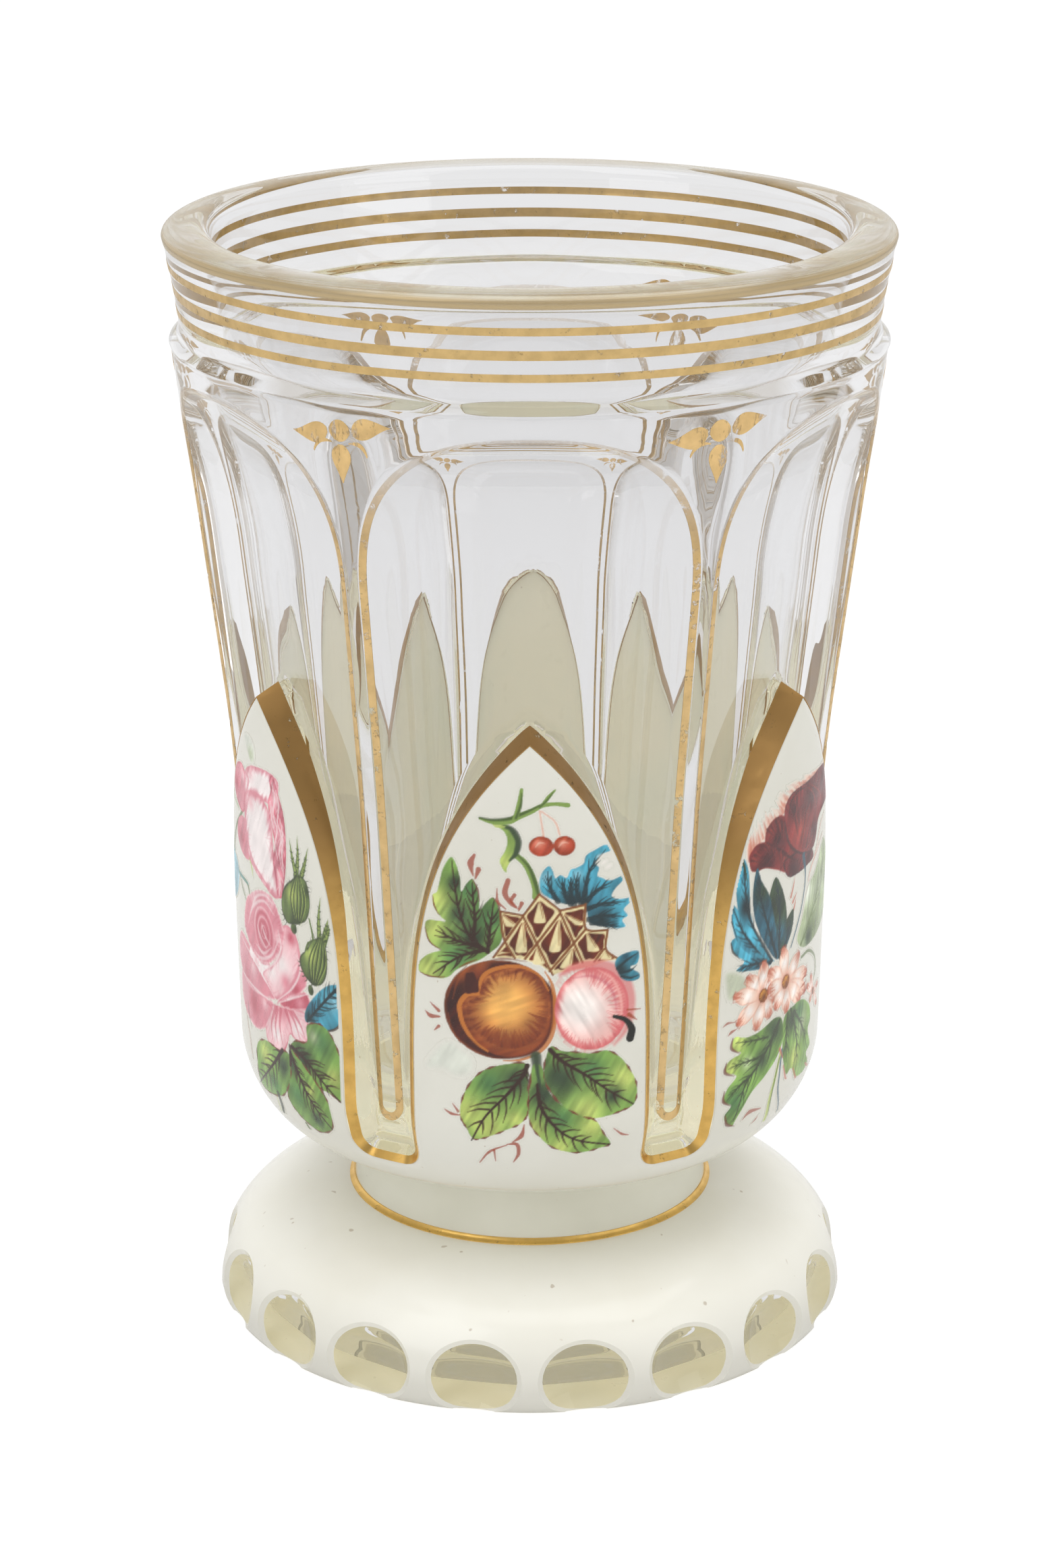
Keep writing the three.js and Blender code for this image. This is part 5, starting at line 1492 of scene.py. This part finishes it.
def enamelPiece(name, canvas):  # the painted part of a canvas as a thin skin on the face
    s, z = canvas["s"], canvas["z"]
    depth = -outsideFace(s, z)
    radius = faceRadius(z) - edgeSink(depth) + paintShape["lift"]
    piece = rolledGrid(name, around(radius, s / faceTopRadius, z))
    cover = np.where(depth > paintShape["edge"], canvas["cover"], 0)
    veil = canvas["ink"] * (1 - paintShape["veil"]) + paintShape["veil"] * 0.85
    colour = np.where(veil > 0.04045, ((veil + 0.055) / 1.055) ** 2.4, veil / 12.92)  # to linear light
    attribute = piece.data.color_attributes.new(name="enamel", type="FLOAT_COLOR", domain="POINT")
    attribute.data.foreach_set("color", np.concatenate([colour, cover[..., None]], -1).astype(np.float32).ravel())
    wet = cover > 0.02
    cells = wet[:-1, :-1] | wet[1:, :-1] | wet[:-1, 1:] | wet[1:, 1:]
    for _ in range(2):  # cells that would only touch at a corner are joined
        a, b, c, d = cells[:-1, :-1], cells[1:, 1:], cells[1:, :-1], cells[:-1, 1:]
        lone, other = a & b & ~c & ~d, c & d & ~a & ~b
        cells[1:, :-1] |= lone
        cells[:-1, :-1] |= other
    dropFaces(piece, ~cells.ravel())
    thicken(piece, paintShape["thickness"])
    return closeShell(piece)


for name, slotName, node, picture, panels in (
        ("fruitPainting", "fruit_enamel", "fruit_painting", paintFruit, (0, 3)),
        ("poppyPainting", "poppy_enamel", "poppy_painting", paintPoppy, (1, 4)),
        ("rosesPainting", "roses_enamel", "roses_painting", paintRoses, (2, 5))):
    first = enamelPiece(f"{name}{panels[0] + 1}", picture())
    second = turnedCopy(first, f"{name}{panels[1] + 1}", panels[1])
    turn(first, panels[0])
    for piece, panel in zip((first, second), panels):
        install(piece, enamelled, slotName, f"{node}_{panel + 1}")
    print(name, len(first.data.polygons))

studio = {
    "keyLight": ((-0.5, -0.52, 0.68), 0.5, 1.55),  # place, size and watts
    "fillLight": ((0.62, -0.45, 0.45), 0.5, 0.85),
    "topLight": ((0.05, 0.0, 0.80), 0.6, 1.9),
    "skyLevel": 0.82,
    "room": 0.4,  # how bright the room in front of the object looks in its glaze and gold
    "sides": (0.74, 0.705, 0.65),  # tone of what shows through the glass beside the backdrop
    "behind": 0.86,  # how bright the backdrop is through the glass
    "ceiling": (0.28, 0.72),  # how bright the studio's ceiling looks in gold and through glass
    "floor": (0.86, 0.86, 0.86),
    "floorGlow": 1.12,
    "glowShare": 0.8,
}
pureWhite = (1.0, 1.0, 1.0)


def softBox(name, place, size, watts):
    bpy.ops.object.light_add(type="AREA", location=place)
    lamp = bpy.context.object
    lamp.name = name
    lamp.data.shape = "RECTANGLE"
    lamp.data.size = size
    lamp.data.size_y = size * 1.4
    lamp.data.energy = watts
    target = Matrix.Translation((0, 0, 0.07)).to_translation()
    lamp.rotation_euler = (target - lamp.location).to_track_quat("-Z", "Y").to_euler()


def backdropTone(net, light, depth, low, high):  # white, but seen through glass it darkens to the front
    beside = net.mix(net.ramp(depth, low, high), studio["sides"], pureWhite)
    return net.mix(light["Is Transmission Ray"], pureWhite, beside)


for name in ("keyLight", "fillLight", "topLight"):
    softBox(name, *studio[name])

world = bpy.data.worlds.new("white studio")
bpy.context.scene.world = world
net = NodeNet(world)
light, ways = net.add("LightPath", {}).outputs, net.split("Generated")
front, above = net.ramp(ways["Y"], -0.35, 0.3, 1, 0), net.ramp(ways["Z"], 0, 0.2)
ceiling = net.ramp(ways["Z"], 0.15, 0.75, 1, studio["ceiling"][0])
reflected = net.mix(net.combine("MULTIPLY", front, above), ceiling, studio["room"], "FLOAT")
through = net.ramp(ways["Z"], 0.25, 0.85, studio["behind"], studio["ceiling"][1])
level = net.mix(light["Is Transmission Ray"], reflected, through, "FLOAT")
seen = net.add("Background", {"Color": backdropTone(net, light, ways["Y"], 0, 0.75), "Strength": level})
soft = net.add("Background", {"Color": pureWhite, "Strength": studio["skyLevel"]})
plain = net.add("Background", {"Color": pureWhite, "Strength": 1})
either = net.combine("MAXIMUM", light["Is Glossy Ray"], light["Is Transmission Ray"])
shown = net.mixShader(either, soft.outputs[0], seen.outputs[0])
net.finish(net.mixShader(light["Is Camera Ray"], shown, plain.outputs[0]), "World")

bpy.ops.object.select_all(action="DESELECT")
bpy.ops.mesh.primitive_plane_add(size=6)
floor = bpy.context.object
floor.name = "floor"
floor.data.transform(Matrix.Translation((0, 0, -0.2 * mm)))  # the base bears on a few grains only
material = bpy.data.materials.new("white floor")
net = NodeNet(material)
light = net.add("LightPath", {}).outputs
matt = net.add("BsdfDiffuse", {"Color": studio["floor"]})
glow = studio["floorGlow"]
bright = net.add("Emission", {
    "Color": backdropTone(net, light, net.split()["Y"], 0.02, 0.16),
    "Strength": net.ramp(light["Is Camera Ray"], 0, 1, glow * studio["behind"], glow),
})
either = net.combine("MAXIMUM", light["Is Camera Ray"], light["Is Transmission Ray"])
share = net.combine("MULTIPLY", either, studio["glowShare"])
net.finish(net.mixShader(share, matt.outputs[0], bright.outputs[0]))
floor.data.materials.append(material)

cycles = bpy.context.scene.cycles
cycles.max_bounces = cycles.transmission_bounces = 32
cycles.glossy_bounces = cycles.transparent_max_bounces = 24
cycles.diffuse_bounces = 6
bpy.context.scene.view_settings.view_transform = "Standard"

viewpoint = {"distance": 0.5158, "height": 0.2442, "pitch": 18.56, "lens": 94.49, "shift": 0.0011}
bpy.ops.object.camera_add(location=(0, -viewpoint["distance"], viewpoint["height"]),
                          rotation=(math.radians(90 - viewpoint["pitch"]), 0, 0))
camera = bpy.context.object
camera.data.lens = viewpoint["lens"]
camera.data.sensor_width = 36
camera.data.shift_x = viewpoint["shift"]
camera.data.clip_start = 0.01
bpy.context.scene.camera = camera
print("studio set")
